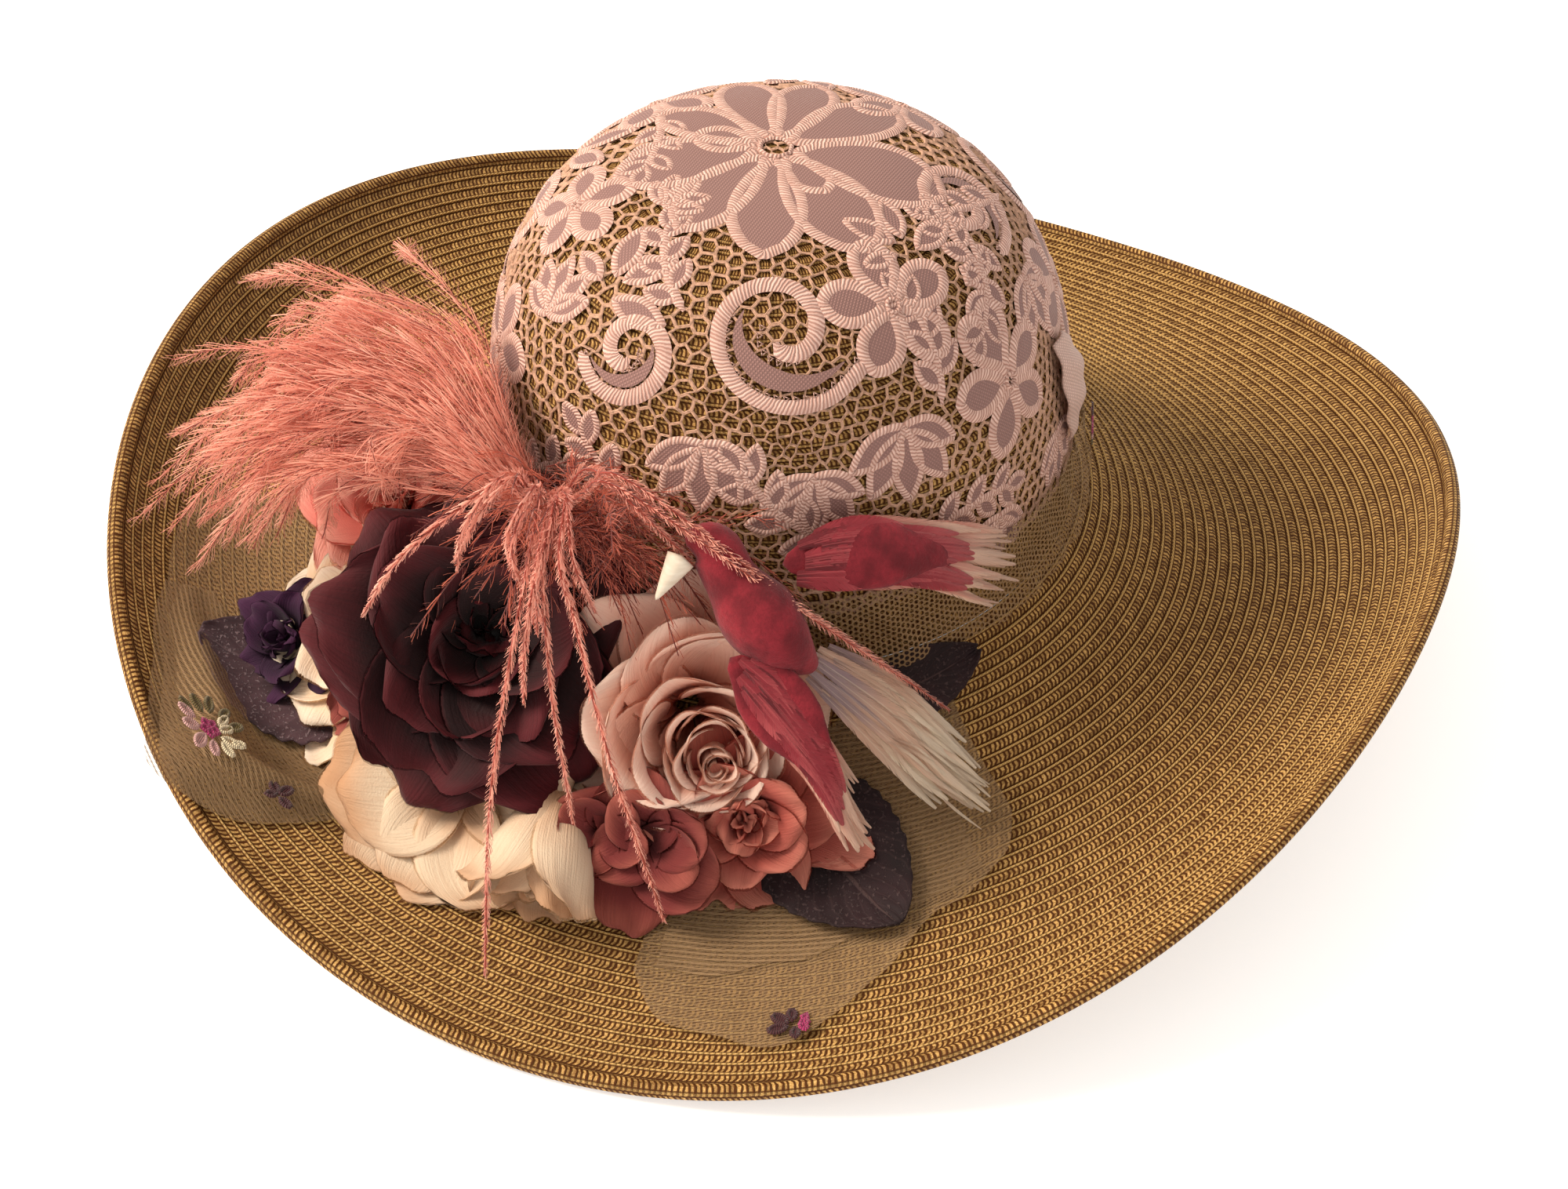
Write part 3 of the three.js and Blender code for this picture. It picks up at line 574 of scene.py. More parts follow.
def braid_map(angles, places, pitch, stitch):
    """The brim's map, with whole stitches round each row."""
    girth = 2 * math.pi * (CROWN["narrow"] + np.floor(np.minimum(places, BRIM["rows"] - 0.5)) * pitch)
    stitches = np.round(girth / stitch)
    return paired(angles[None, :] / 360 * stitches[:, None], places[:, None])


class HAT_OT_crown(bpy.types.Operator):
    """Makes the crown of sewn straw braid"""

    bl_idname = "hat.crown"
    bl_label = "Crown"

    def execute(self, context):
        settings = context.scene.hat_straw
        angles = np.linspace(0, 360, ROUND["crown"])
        fine = np.linspace(0, 90, 400)
        meridian = crown_point(np.zeros_like(fine), fine)
        along = np.concatenate([[0], np.cumsum(np.linalg.norm(np.diff(meridian, axis=0), axis=1))])
        rows = round(along[-1] / (BRAID_END / BRIM["rows"]))
        steps = braid_rows(rows, settings.ridge * 0.6)
        rises = np.interp(steps[:, 0] / rows * along[-1], along, fine)
        rises[-1] = 90
        patch = Patchwork()
        outer = crown_point(angles[None, :], rises[:, None], steps[:, 1:] - 0.1)
        patch.grid(outer, stitch_map(angles, steps[:, 0], CROWN_GIRTH, settings.stitch))
        inner_rises = np.linspace(0, 90, 31)
        inner = crown_point(angles[None, :], inner_rises[:, None], -STRAW)
        inner_map = stitch_map(angles, inner_rises / 90 * rows, CROWN_GIRTH, settings.stitch)
        patch.grid(inner, inner_map, flip=True)
        patch.grid(np.stack([inner[0], outer[0]]))
        # The crown's copy of the straw is drawn a little darker and with a weaker strand highlight: painted
        # shade.
        material = straw_finish("crown straw", settings, strand_highlight=0.5, paler=0.9)
        patch.piece("straw_crown", material, "straw", ["crown"])
        return {"FINISHED"}


class HAT_OT_edge_roll(bpy.types.Operator):
    """Makes the rolled braid round the brim's edge"""

    bl_idname = "hat.edge_roll"
    bl_label = "Edge roll"

    def execute(self, context):
        settings = context.scene.hat_straw
        angles = np.linspace(0, 360, ROUND["edge"])
        turns = np.linspace(0, 360, 19)
        swell = 1 + 0.1 * np.abs(np.sin(np.radians(turns * 1.5)))
        middle = BRIM["run"] - ROLL["width"] / 2
        run = middle + np.cos(np.radians(turns)) * ROLL["width"] / 2 * swell
        lift = np.sin(np.radians(turns)) * ROLL["height"] / 2 * swell - STRAW / 2
        patch = Patchwork()
        points = brim_point(angles[None, :], run[:, None], lift[:, None])
        around = 2 * math.pi * (CROWN["narrow"] + BRIM["run"])
        patch.grid(on_floor(points), stitch_map(angles, turns / 120, around, settings.stitch), flip=True)
        # The edge roll's copy of the straw is drawn a little lighter and with a weak strand highlight:
        # painted light.
        material = straw_finish("edge straw", settings, strand_highlight=0.3)
        patch.piece("edge_braid", material, "straw_edge", ["brim_edge_roll"])
        return {"FINISHED"}


# Lace


# The point inside the crown from which the lace is laid on it
HEART = np.array([CROWN["lean"][0], CROWN["lean"][1], CROWN["height"]]) * 0.35


def crown_excess(points, lift):
    """Below zero inside the lifted crown, and above zero outside it."""
    high = points[..., 2] / (CROWN["height"] + lift)
    inside = np.clip(high, 0, None)
    x = points[..., 0] - CROWN["lean"][0] * inside
    y = points[..., 1] - CROWN["lean"][1] * inside
    reach = np.hypot(x, y) / oval_radius(np.degrees(np.arctan2(y, x)), lift)
    return reach ** CROWN["roundness"] + inside ** CROWN["roundness"] - 1


def laid_on_crown(points, lift):
    """Points moved to the crown's face along lines from its heart."""
    ray = unit(np.asarray(points, float) - HEART)
    near = np.full(ray.shape[:-1], 20.0)
    far = np.full(ray.shape[:-1], 160.0)
    for _ in range(26):
        middle = (near + far) / 2
        outside = crown_excess(HEART + ray * middle[..., None], lift) > 0
        far = np.where(outside, middle, far)
        near = np.where(outside, near, middle)
    return HEART + ray * far[..., None]


class Place:
    """A spot on the crown, with the directions of its lace."""

    def __init__(self, angle, rise, turn=0.0):
        self.middle = crown_point(np.array(angle), np.array(rise))
        right = unit(crown_point(np.array(angle + 1.0), np.array(rise)) - self.middle)
        upward = crown_point(np.array(angle), np.array(rise + 1.0)) - self.middle
        upward = unit(upward - right * (upward @ right))
        cos, sin = math.cos(math.radians(turn)), math.sin(math.radians(turn))
        self.right = right * cos + upward * sin
        self.upward = upward * cos - right * sin

    def lay(self, flat, lift):
        """Flat points laid on the crown."""
        flat = np.asarray(flat, float)
        points = self.middle + flat[..., :1] * self.right + flat[..., 1:] * self.upward
        return laid_on_crown(points, lift)


LACE_LIFT = 0.8


class BrimPlace:
    """A spot over the brim. Up is towards the crown."""

    def __init__(self, angle, run, turn, lift):
        self.angle = angle
        self.run = run
        self.turn = turn
        self.lift = lift

    def lay(self, flat, lift):
        """Flat points laid over the brim."""
        flat = turned(flat, self.turn)
        reach = oval_radius(self.angle) + self.run
        angle = self.angle + np.degrees(flat[..., 0] / reach)
        return brim_point(angle, self.run - flat[..., 1], self.lift + lift)


# Way along a cord from one section to the next
SATIN_STEP = 1.3


def satin(patch, path, lay, width, height=0.55, closed=False, lift=LACE_LIFT + 0.5, tint=0.0):
    """A satin-stitched cord along a flat path."""
    path = np.asarray(path, float)
    if closed:
        path = np.vstack([path, path[:1]])
    path = resampled(path, max(int(path_length(path) / SATIN_STEP), 4))
    forward = np.gradient(path, axis=0)
    if closed:
        forward[0] = forward[-1] = forward[0] + forward[-1]
    forward = unit(forward)
    right = np.stack([forward[:, 1], -forward[:, 0]], -1)
    across = np.linspace(-1, 1, 5)
    taper = np.ones(len(path))
    if not closed:
        taper = np.clip(np.minimum(np.arange(len(path)), np.arange(len(path))[::-1]) / 2, 0.35, 1)
    flat = path[:, None] + right[:, None] * across[None, :, None] * width / 2 * taper[:, None, None]
    raised = lift + height * (1 - across**2)[None, :] * taper[:, None]
    along = np.arange(len(path)) * path_length(path) / (len(path) - 1)
    pattern = paired(along[:, None], across[None, :] * width / 2)
    patch.grid(lay(flat, raised), pattern, tint=tint)


def filling(patch, outline, lay, lift=LACE_LIFT + 0.7, tint=0.0):
    """Fine cloth inside a closed flat outline."""
    outline = np.vstack([outline, outline[:1]])
    middle = outline.mean(0)
    shares = np.array([0.0, 0.35, 0.7, 1.0])
    flat = middle + (outline - middle)[None] * shares[:, None, None]
    crossing = np.cross(np.roll(outline, -1, 0)[:-1] - outline[:-1], outline[:-1] - middle).sum()
    patch.grid(lay(flat, np.full(flat.shape[:2], lift)), flat, tint, flip=crossing < 0)


def petal_outline(length, width, start=0.0, belly=1.0, blunt=0.7, count=11):
    """A petal that grows along +Y. belly over 1 moves its widest place to the tip."""
    share = np.linspace(0, 1, count)
    half = width / 2 * np.sin(np.pi * share**belly) ** blunt
    left = np.stack([-half, start + share * length], -1)
    right = np.stack([half, start + share * length], -1)
    return np.vstack([left, right[-2:0:-1]])


def heart_outline(length, width, start=0.0):
    """A heart that stands on its point."""
    turn = np.linspace(0, 2 * math.pi, 25)[:-1] + math.pi
    x = width / 2 * np.sin(turn) ** 3
    y = (13 * np.cos(turn) - 5 * np.cos(2 * turn) - 2 * np.cos(3 * turn) - np.cos(4 * turn) + 17) / 29
    return np.stack([x, start + y * length], -1)[::-1]


class Lace:
    """The lace's cords and fillings."""

    def __init__(self, cord):
        self.cord = cord
        self.cords = Patchwork()
        self.fills = Patchwork()

    def petal(self, place, outline, cord=1.0):
        """An outlined petal."""
        satin(self.cords, outline, place.lay, self.cord * cord, closed=True)
        filling(self.fills, outline, place.lay)

    def flower(self, place, size, petals):
        """Petals round a small eye. Each has a turn, a share of the length and width, and a kind."""
        for turn, length, width, kind in petals:
            if kind == "heart":
                shape = heart_outline(size * length, size * width, size * 0.14)
            else:
                shape = petal_outline(size * length, size * width, size * 0.14, belly=1.25, blunt=0.6)
            self.petal(place, turned(shape, turn))
        eye = np.vstack([turned([[size * 0.11, 0.0]], step * 45) for step in range(8)])
        satin(self.cords, eye, place.lay, 1.4, 0.7, closed=True, lift=LACE_LIFT + 0.8)

    def scroll(self, place, size, mirrored):
        """A curled scroll with a crescent of fine cloth inside it."""
        sign = -1 if mirrored else 1
        fine = np.linspace(SCROLL_CURL[0, 0], SCROLL_CURL[-1, 0], 70)
        reach = np.interp(fine, *SCROLL_CURL.T) * size
        turn = np.radians(fine)
        path = np.stack([sign * reach * np.cos(turn), reach * np.sin(turn)], -1)
        satin(self.cords, smooth_path(path[::5], 60), place.lay, self.cord * 1.15)
        crescent = np.radians(np.linspace(140, 335, 24))
        reach = np.interp(np.degrees(crescent), *SCROLL_CURL.T) * size
        swell = np.sin(np.linspace(0, np.pi, 24))
        inner = reach * (0.74 - 0.3 * swell)
        outer = reach * 0.76
        shape = np.vstack([
            np.stack([sign * outer * np.cos(crescent), outer * np.sin(crescent)], -1),
            np.stack([sign * inner * np.cos(crescent), inner * np.sin(crescent)], -1)[::-1],
        ])
        rows = np.stack([shape[:24], shape[24:][::-1]])
        flat = np.stack([rows[0] + (rows[1] - rows[0]) * share for share in (0, 0.5, 1)])
        self.fills.grid(place.lay(flat, np.full(flat.shape[:2], LACE_LIFT + 0.7)), flat, flip=mirrored)
        for share, count in ((0.87, 22), (0.36, 10)):
            for step in np.linspace(150, 340, count):
                spot = np.interp(step, *SCROLL_CURL.T) * size * share
                way = math.radians(step)
                self.eyelet(place, spot * np.array([sign * math.cos(way), math.sin(way)]))

    def eyelet(self, place, middle):
        """A small worked ring."""
        turns = np.radians(np.arange(0, 360, 60))
        ring = middle + np.stack([np.cos(turns), np.sin(turns)], -1) * 1.0
        satin(self.cords, ring, place.lay, 0.7, 0.5, closed=True, lift=LACE_LIFT + 0.2)

    def spray(self, place, size, leaves):
        """Leaves that spring from one stem, each with its foot, its turn and its length."""
        for x, y, turn, length in leaves:
            shape = petal_outline(size * length, size * length * 0.42, 0, belly=0.95, blunt=0.95)
            self.petal(place, turned(shape, turn) + np.array([x, y]) * size, 0.6)

    def branch(self, place, size, bend):
        """A bowed stem with leaves on both sides."""
        share = np.linspace(0, 1, 14)
        satin(self.cords, np.stack([bend * share**2, share], -1) * size, place.lay, self.cord * 0.7)
        for at, side in BRANCH_LEAVES:
            lean = -math.degrees(math.atan2(2 * bend * at, 1)) + side * 46
            shape = petal_outline(size * 0.33, size * 0.16, 0, belly=0.95, blunt=0.9)
            self.petal(place, turned(shape, lean) + np.array([bend * at**2, at]) * size, 0.55)


# A scroll's turn in degrees, and its reach as a share of its size
SCROLL_CURL = np.array([
    (-150, 0.12), (-90, 0.22), (-10, 0.4), (45, 0.62), (90, 0.8), (135, 0.86), (176, 0.9), (224, 0.95),
    (269, 1.0), (313, 1.1), (345, 1.25), (372, 1.5),
])
# Share of the stem, and side
BRANCH_LEAVES = ((0.16, 1), (0.28, -1), (0.48, 1), (0.6, -1), (0.8, 1), (0.9, -1), (1.0, 0))
# Turn, length, width and kind
EIGHT_PETALS = (
    (0, 1.0, 0.42, "petal"), (42, 0.85, 0.36, "petal"), (88, 1.0, 0.5, "petal"),
    (128, 0.95, 0.4, "petal"), (160, 1.0, 0.46, "petal"), (196, 1.05, 0.55, "petal"),
    (240, 1.1, 0.62, "petal"), (292, 1.0, 0.46, "petal"), (328, 0.95, 0.4, "petal"),
    (200, 0.42, 0.26, "petal"), (60, 0.42, 0.26, "petal"),
)
FIVE_PETALS = tuple((turn, 1.0, 0.62, "petal") for turn in (-8, 64, 136, 208, 280))
HEART_PETALS = (
    (8, 1.15, 0.98, "heart"), (78, 1.0, 0.6, "petal"), (152, 1.0, 0.62, "petal"), (222, 0.9, 0.55, "petal"),
    (290, 0.9, 0.55, "petal"),
)
# Foot, turn and length
FAN_LEAVES = (
    (0, 0, -62, 1.1), (0.1, 0.1, -32, 1.1), (0, 0.1, 0, 1.15), (-0.1, 0.1, 32, 1.1), (0, 0, 64, 1.0),
)
SPRIG_LEAVES = ((0, 0, 20, 1.3), (0.3, 0, -28, 1.2), (0.4, -0.5, -85, 1.4), (-0.3, -0.3, 75, 0.9))

# kind, angle, rise, size, turn, and the petals, the leaves or whether it is mirrored
LACE_MOTIFS = (
    ("flower", 100, 88.6, 45, 200, EIGHT_PETALS),
    ("branch", 300, 14, 40, 62, 0.25),
    ("branch", 326, 34, 34, -18, -0.3),
    ("branch", 266, 60, 30, 50, 0.3),
    ("branch", 4, 60, 34, 150, 0.35),
    ("branch", 352, 46, 30, -30, -0.35),
    ("branch", 318, 12, 32, -70, 0.3),
    ("branch", 262, 12, 36, 20, -0.3),
    ("branch", 232, 8, 34, -25, 0.3),
    ("branch", 206, 14, 34, 20, -0.3),
    ("branch", 30, 52, 32, 60, 0.3),
    ("branch", 36, 8, 34, -20, 0.35),
    ("branch", 66, 34, 30, 40, -0.3),
    ("branch", 96, 8, 34, 20, -0.3),
    ("branch", 136, 34, 34, -30, 0.3),
    ("branch", 172, 8, 34, 25, 0.3),
    ("branch", 158, 70, 30, -40, 0.3),
    ("scroll", 292, 56.3, 21, 0, False),
    ("flower", 324, 57.8, 19, 0, FIVE_PETALS),
    ("flower", 346, 30, 20, 0, HEART_PETALS),
    ("scroll", 16, 62, 16, 40, True),
    ("spray", 243, 61.3, 13, 0, SPRIG_LEAVES),
    ("scroll", 256, 47, 13, 0, True),
    ("spray", 316, 33, 19, 178, FAN_LEAVES),
    ("spray", 296, 27, 16, 180, FAN_LEAVES),
    ("spray", 275, 33, 17, 182, FAN_LEAVES),
    ("spray", 336, 9, 13, 175, FAN_LEAVES),
    ("spray", 8, 42, 15, 175, FAN_LEAVES),
    ("spray", 0, 12, 14, 180, FAN_LEAVES),
    ("spray", 230, 78, 11, 15, FAN_LEAVES),
    ("spray", 340, 70, 12, 0, SPRIG_LEAVES),
    ("spray", 232, 44, 14, 20, FAN_LEAVES),
    ("flower", 22, 30, 19, 30, FIVE_PETALS),
    ("scroll", 48, 44, 20, 0, False),
    ("flower", 70, 60, 18, 0, FIVE_PETALS),
    ("spray", 56, 16, 17, 180, FAN_LEAVES),
    ("flower", 84, 30, 20, 0, HEART_PETALS),
    ("spray", 100, 54, 15, 0, SPRIG_LEAVES),
    ("scroll", 122, 42, 20, 0, True),
    ("spray", 116, 14, 17, 180, FAN_LEAVES),
    ("spray", 140, 20, 17, 180, FAN_LEAVES),
    ("flower", 148, 60, 18, 20, FIVE_PETALS),
    ("flower", 162, 30, 20, 0, HEART_PETALS),
    ("spray", 176, 54, 15, 0, SPRIG_LEAVES),
    ("scroll", 194, 40, 20, 0, False),
    ("spray", 184, 14, 17, 180, FAN_LEAVES),
    ("flower", 218, 26, 18, 10, FIVE_PETALS),
    ("flower", 210, 62, 15, 10, FIVE_PETALS),
)


LACE_FACE = 2.1
# Share of each of the cord's primary colours that is left between its threads
CORD_SHADOW = (0.52, 0.4, 0.37)
# The net: its lowest height, how uneven its cells are, the least and most of a thread's width squared,
# the width of its bevel, and the lifts of its rim, its crest and its holes
NET_FOOT = 22
NET_UNEVEN = 0.0052
NET_THREAD = (0.001, 0.045)
NET_BEVEL = 0.06
NET_RIM, NET_CREST, NET_HOLE = 1.15, 1.3, 0.55
# Where the ear's bulge starts in half a wave, and how much of it the ear has
EAR_WAVE = (0.15, 0.7)
EAR_THICKNESS = 0.7
# Rows of the lace's folded ear: height, angle from, angle to, and how far it stands out
LACE_EAR = ((36, 4, 12, 0.4), (44, 2, 14, 2.6), (54, 1, 14, 4.2), (64, 2, 12, 3.2), (72, 4, 9, 0.6))


def geodesic(divisions):
    """Points and triangles of an even net over a ball."""
    ball = bmesh.new()
    bmesh.ops.create_icosphere(ball, subdivisions=1, radius=1.0)
    corners = np.array([vertex.co for vertex in ball.verts])
    triangles = [[vertex.index for vertex in face.verts] for face in ball.faces]
    ball.free()
    points = []
    faces = []
    for triangle in triangles:
        a, b, c = corners[triangle]
        start = len(points)
        index = {}
        for i in range(divisions + 1):
            for j in range(divisions + 1 - i):
                index[i, j] = start + len(index)
                points.append(a + (b - a) * i / divisions + (c - a) * j / divisions)
        for i in range(divisions):
            for j in range(divisions - i):
                faces.append((index[i, j], index[i + 1, j], index[i, j + 1]))
                if i + j < divisions - 1:
                    faces.append((index[i + 1, j], index[i + 1, j + 1], index[i, j + 1]))
    return unit(points), np.array(faces)


def ground_net(cells, foot):
    """Net over the crown: each round hole's threads run from the rim of its cell to the hole."""
    points, faces = geodesic(cells // 2)
    middles = unit(points[faces].mean(1))
    keys = np.round(points, 5)
    _, same = np.unique(keys, axis=0, return_inverse=True)
    same = same.reshape(-1)
    rings = {}
    for face, corners in enumerate(faces):
        for corner in corners:
            rings.setdefault(same[corner], []).append(face)
    where = np.zeros((same.max() + 1, 3))
    where[same] = points
    patch = Patchwork()
    chance = np.random.default_rng(3)
    middles = unit(middles + chance.normal(size=middles.shape) * NET_UNEVEN)
    for size in (5, 6):
        cells_of = [(key, ring) for key, ring in rings.items() if len(ring) == size and where[key][2] > -0.45]
        hubs = np.array([where[key] for key, _ in cells_of])
        ring = middles[np.array([ring for _, ring in cells_of])]
        side = unit(np.cross(hubs, np.roll(hubs, 1, -1)))
        other = np.cross(hubs, side)
        swing = np.arctan2((ring * other[:, None]).sum(-1), (ring * side[:, None]).sum(-1))
        order = np.argsort(swing, axis=1)
        ring = np.take_along_axis(ring, order[..., None], 1)
        hubs = ring.mean(1)
        thread = np.sqrt(chance.uniform(*NET_THREAD, (len(hubs), 1, 1)))
        rim = laid_on_crown(HEART + ring * 100, NET_RIM)
        ring = ring + (hubs[:, None] - ring) * NET_BEVEL
        crest = laid_on_crown(HEART + ring * 100, NET_CREST)
        ring = ring + (hubs[:, None] - ring) * thread
        hole = laid_on_crown(HEART + ring * 100, NET_HOLE)
        shown = rim[..., 2].min(1) > foot
        bands = np.stack([rim, crest, hole], 1)[shown]
        for band in np.concatenate([bands, bands[:, :, :1]], 2):
            patch.grid(band, flip=True)
    return patch


def satin_finish(settings):
    """Shiny thread laid side by side across each cord."""
    finish = Finish("lace cord", roughness=0.6, shine=0.15)
    along, across = finish.pattern()
    slanted = finish.plus(finish.times(along, 0.85), finish.times(across, 0.35))
    loose = finish.noise(finish.place((300, 300, 300)), 1.0)
    turns = finish.plus(slanted, finish.times(loose, 0.9))
    thread = finish.wave(turns)
    each = finish.chance(finish.math("FLOOR", finish.plus(turns, 0.25)), 0.5)
    shadow = tuple(value * share for value, share in zip(settings.cord_color, CORD_SHADOW))
    gloss = finish.times(finish.span(thread, 0.0, 0.65), finish.span(each, 0.0, 1.0, 0.6, 1.0))
    finish.color(finish.mix(gloss, shadow, settings.cord_color))
    finish.bump(finish.plus(thread, finish.times(loose, 0.6)), 0.3)
    return finish.material


def fill_finish(name, color):
    """Fine close cloth with a slanting weave."""
    finish = Finish(name, roughness=0.7, sheen=0.1)
    across, along = finish.pattern()
    first = finish.wave(finish.times(finish.plus(across, along), 0.75))
    second = finish.wave(finish.times(finish.minus(across, along), 0.75))
    weave = finish.times(first, second)
    deep = darker(color, 0.62)
    finish.color(finish.mix(weave, deep, color))
    finish.bump(weave, 0.2)
    return finish.material


def net_finish(settings):
    """Soft cotton net."""
    finish = Finish("lace net", roughness=0.85)
    fleck = finish.noise(finish.place((900, 900, 900)), 1.0)
    deep = darker(settings.net_color, 0.55)
    finish.color(finish.mix(finish.span(fleck, 0.3, 0.6), deep, settings.net_color))
    finish.bump(fleck, 0.15)
    return finish.material


class HAT_OT_lace(bpy.types.Operator):
    """Makes the corded lace over the crown"""

    bl_idname = "hat.lace"
    bl_label = "Lace"

    def execute(self, context):
        settings = context.scene.hat_lace
        lace = Lace(settings.cord)
        for kind, angle, rise, size, turn, extra in LACE_MOTIFS:
            getattr(lace, kind)(Place(angle, rise, turn), size, extra)
        net = ground_net(settings.cells, NET_FOOT)
        net.piece("lace_net", net_finish(settings), "lace", ["lace_cover"], weld=False)
        lace.cords.piece("lace_cords", satin_finish(settings), "lace", ["lace_cover"])
        petal_cloth = fill_finish("lace petals", settings.fill_color)
        lace.fills.piece("lace_petals", petal_cloth, "lace", ["lace_cover"])
        ear = smooth_path(np.array(LACE_EAR, float), 30)
        share = np.linspace(0, 1, 15)[None, :]
        height, start, stop, out = (ear[:, place:place + 1] for place in range(4))
        angle = start + (stop - start) * share
        swell = np.sin(math.pi * (EAR_WAVE[0] + EAR_WAVE[1] * share))
        bulge = out * swell + 0.5 * np.sin(height * 0.5 + share * 5)
        patch = Patchwork()
        points = crown_point(angle, rise_at(height), LACE_FACE + 0.9 + bulge)
        patch.grid(points, paired(angle * 1.7, height))
        weave = fill_finish("lace ear", settings.cord_color)
        piece = patch.piece("lace_ear", weave, "lace", ["lace_flap"], thickness=EAR_THICKNESS)
        cloth(piece, (24, 46), "folded", ["straw_crown"])
        return {"FINISHED"}


# Tulle

BAND_HEIGHT = 31.0
BAND_RADIUS = 96
# Heights on the band, and how far it stands off the lace there
BAND_SPREAD = ((1, 14, BAND_HEIGHT), (4.2, 2.2, 1.0))
# Depth of the band's gathers, and the room under them
BAND_GATHER = 0.55
BAND_CLEAR = 0.6

# Rows of the veils: angle, run from, run to, height of a fold and its place on the way out
FRONT_VEIL = (
    (275, 62, 99, 0, 0.6), (279, 48, 116, 0.8, 0.9), (284, 36, 120, 1.5, 0.92), (288.5, 28, 125, 1.5, 0.9),
    (293, 22, 114, 1.5, 0.92), (298, 17, 101, 1.2, 0.95), (303, 12, 87, 1.5, 1.0), (309, 10, 80, 1.5, 1.0),
    (314, 9, 72.6, 2.5, 0.9), (317, 9, 60, 2.5, 0.9),
)
LEFT_VEIL = (
    (200, 62, 104, 0, 0.8), (206, 54, 116, 1, 0.9), (213, 50, 120, 1, 1.0), (220, 48, 127, 1.5, 1.0),
    (226, 48, 132, 2.5, 0.95), (231, 50, 143, 6, 0.85), (235, 54, 149, 9, 0.8), (237.5, 58, 140, 7, 0.75),
    (240, 62, 123, 5, 0.7), (242, 66, 92, 2, 0.6),
)
# The parts of the veils that lie doubled
FRONT_DOUBLE = (
    (277, 60, 97, 0, 1.0), (281, 44, 98.5, 0.4, 1.0), (286, 32, 95, 0.6, 1.0), (291, 26, 92, 0.6, 1.0),
    (296, 18, 87, 0.6, 1.0), (301, 14, 82, 0.6, 1.0), (306, 11, 78, 0.6, 1.0), (311, 10, 74, 0.6, 1.0),
)
LEFT_DOUBLE = (
    (214, 104, 122, 0.5, 0.5), (220, 99, 129, 3, 0.5), (225.5, 96, 135, 7, 0.5), (230, 95, 144, 11, 0.5),
    (234, 94, 150, 13, 0.55), (237.5, 90, 137, 11, 0.55), (240, 86, 120, 7, 0.5), (242.5, 82, 100, 2, 0.5),
)
VEIL_LIFT = 1.1
DOUBLE_LIFT = 1.9
FOLD_WIDTH = 0.22


def rise_at(height):
    """The rise at which the crown has a given height."""
    return np.degrees(np.arcsin(np.clip(height / CROWN["height"], 0, 1) ** (CROWN["roundness"] / 2)))


def tulle_finish(settings):
    """Fine net of six-sided holes."""
    finish = Finish("tulle", roughness=0.8)
    across, along = finish.pattern()
    waves = 0.0
    for turn in (0, 60, 120):
        cos, sin = math.cos(math.radians(turn)), math.sin(math.radians(turn))
        mixed = finish.plus(finish.times(across, cos), finish.times(along, sin))
        wave = finish.math("COSINE", finish.times(mixed, 2 * math.pi / settings.mesh))
        waves = finish.plus(wave, waves)
    thread = finish.span(waves, -0.8, 0.6, 1.0, 0.0)
    finish.holes(finish.span(thread, 0.0, 1.0, 0.08, 0.8))
    finish.color(finish.mix(thread, settings.shade, settings.color))
    return finish.material


class TulleSettings(bpy.types.PropertyGroup):
    """The net scarf."""

    mesh: bpy.props.FloatProperty(name="Mesh", description="Width of the net's holes, in millimetres",
                                  default=1.7, min=0.5, max=5)
    color: color_setting("Colour", "Colour of the net's thread", 152, 122, 88)
    shade: color_setting("Shade", "Colour in the net's depth", 92, 66, 42)


def cloth(piece, flat, held, rests_on):
    """Takes a sheet, its cut size in millimetres, how it is held and what it rests on; the sheet, its size
    and how it is held are not used.
    """
    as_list(rests_on)


def veil(rows, lift, wrinkle, seed):
    """A fine grid over a veil's rows, with its map in millimetres."""
    table = smooth_path(np.array(rows, float), 70)
    share = np.linspace(0, 1, 56)[None, :]
    angle, start, stop, fold, at = (table[:, place:place + 1] for place in range(5))
    ridge = fold * np.exp(-(((share - at) / FOLD_WIDTH) ** 2))
    run = start + (stop - start) * share
    wobble = np.sin(angle * 1.5 + share * 3 + seed) + 0.7 * np.sin(angle * 0.7 - share * 8 + seed * 2)
    run = run + 0.6 * np.sin(angle * 0.8 + seed) * share
    points = brim_point(angle, run, lift + ridge + wrinkle * (1 + wobble / 1.7) / 2)
    reach = oval_radius(angle) + run
    return points, np.stack([np.radians(angle) * reach, run], -1)


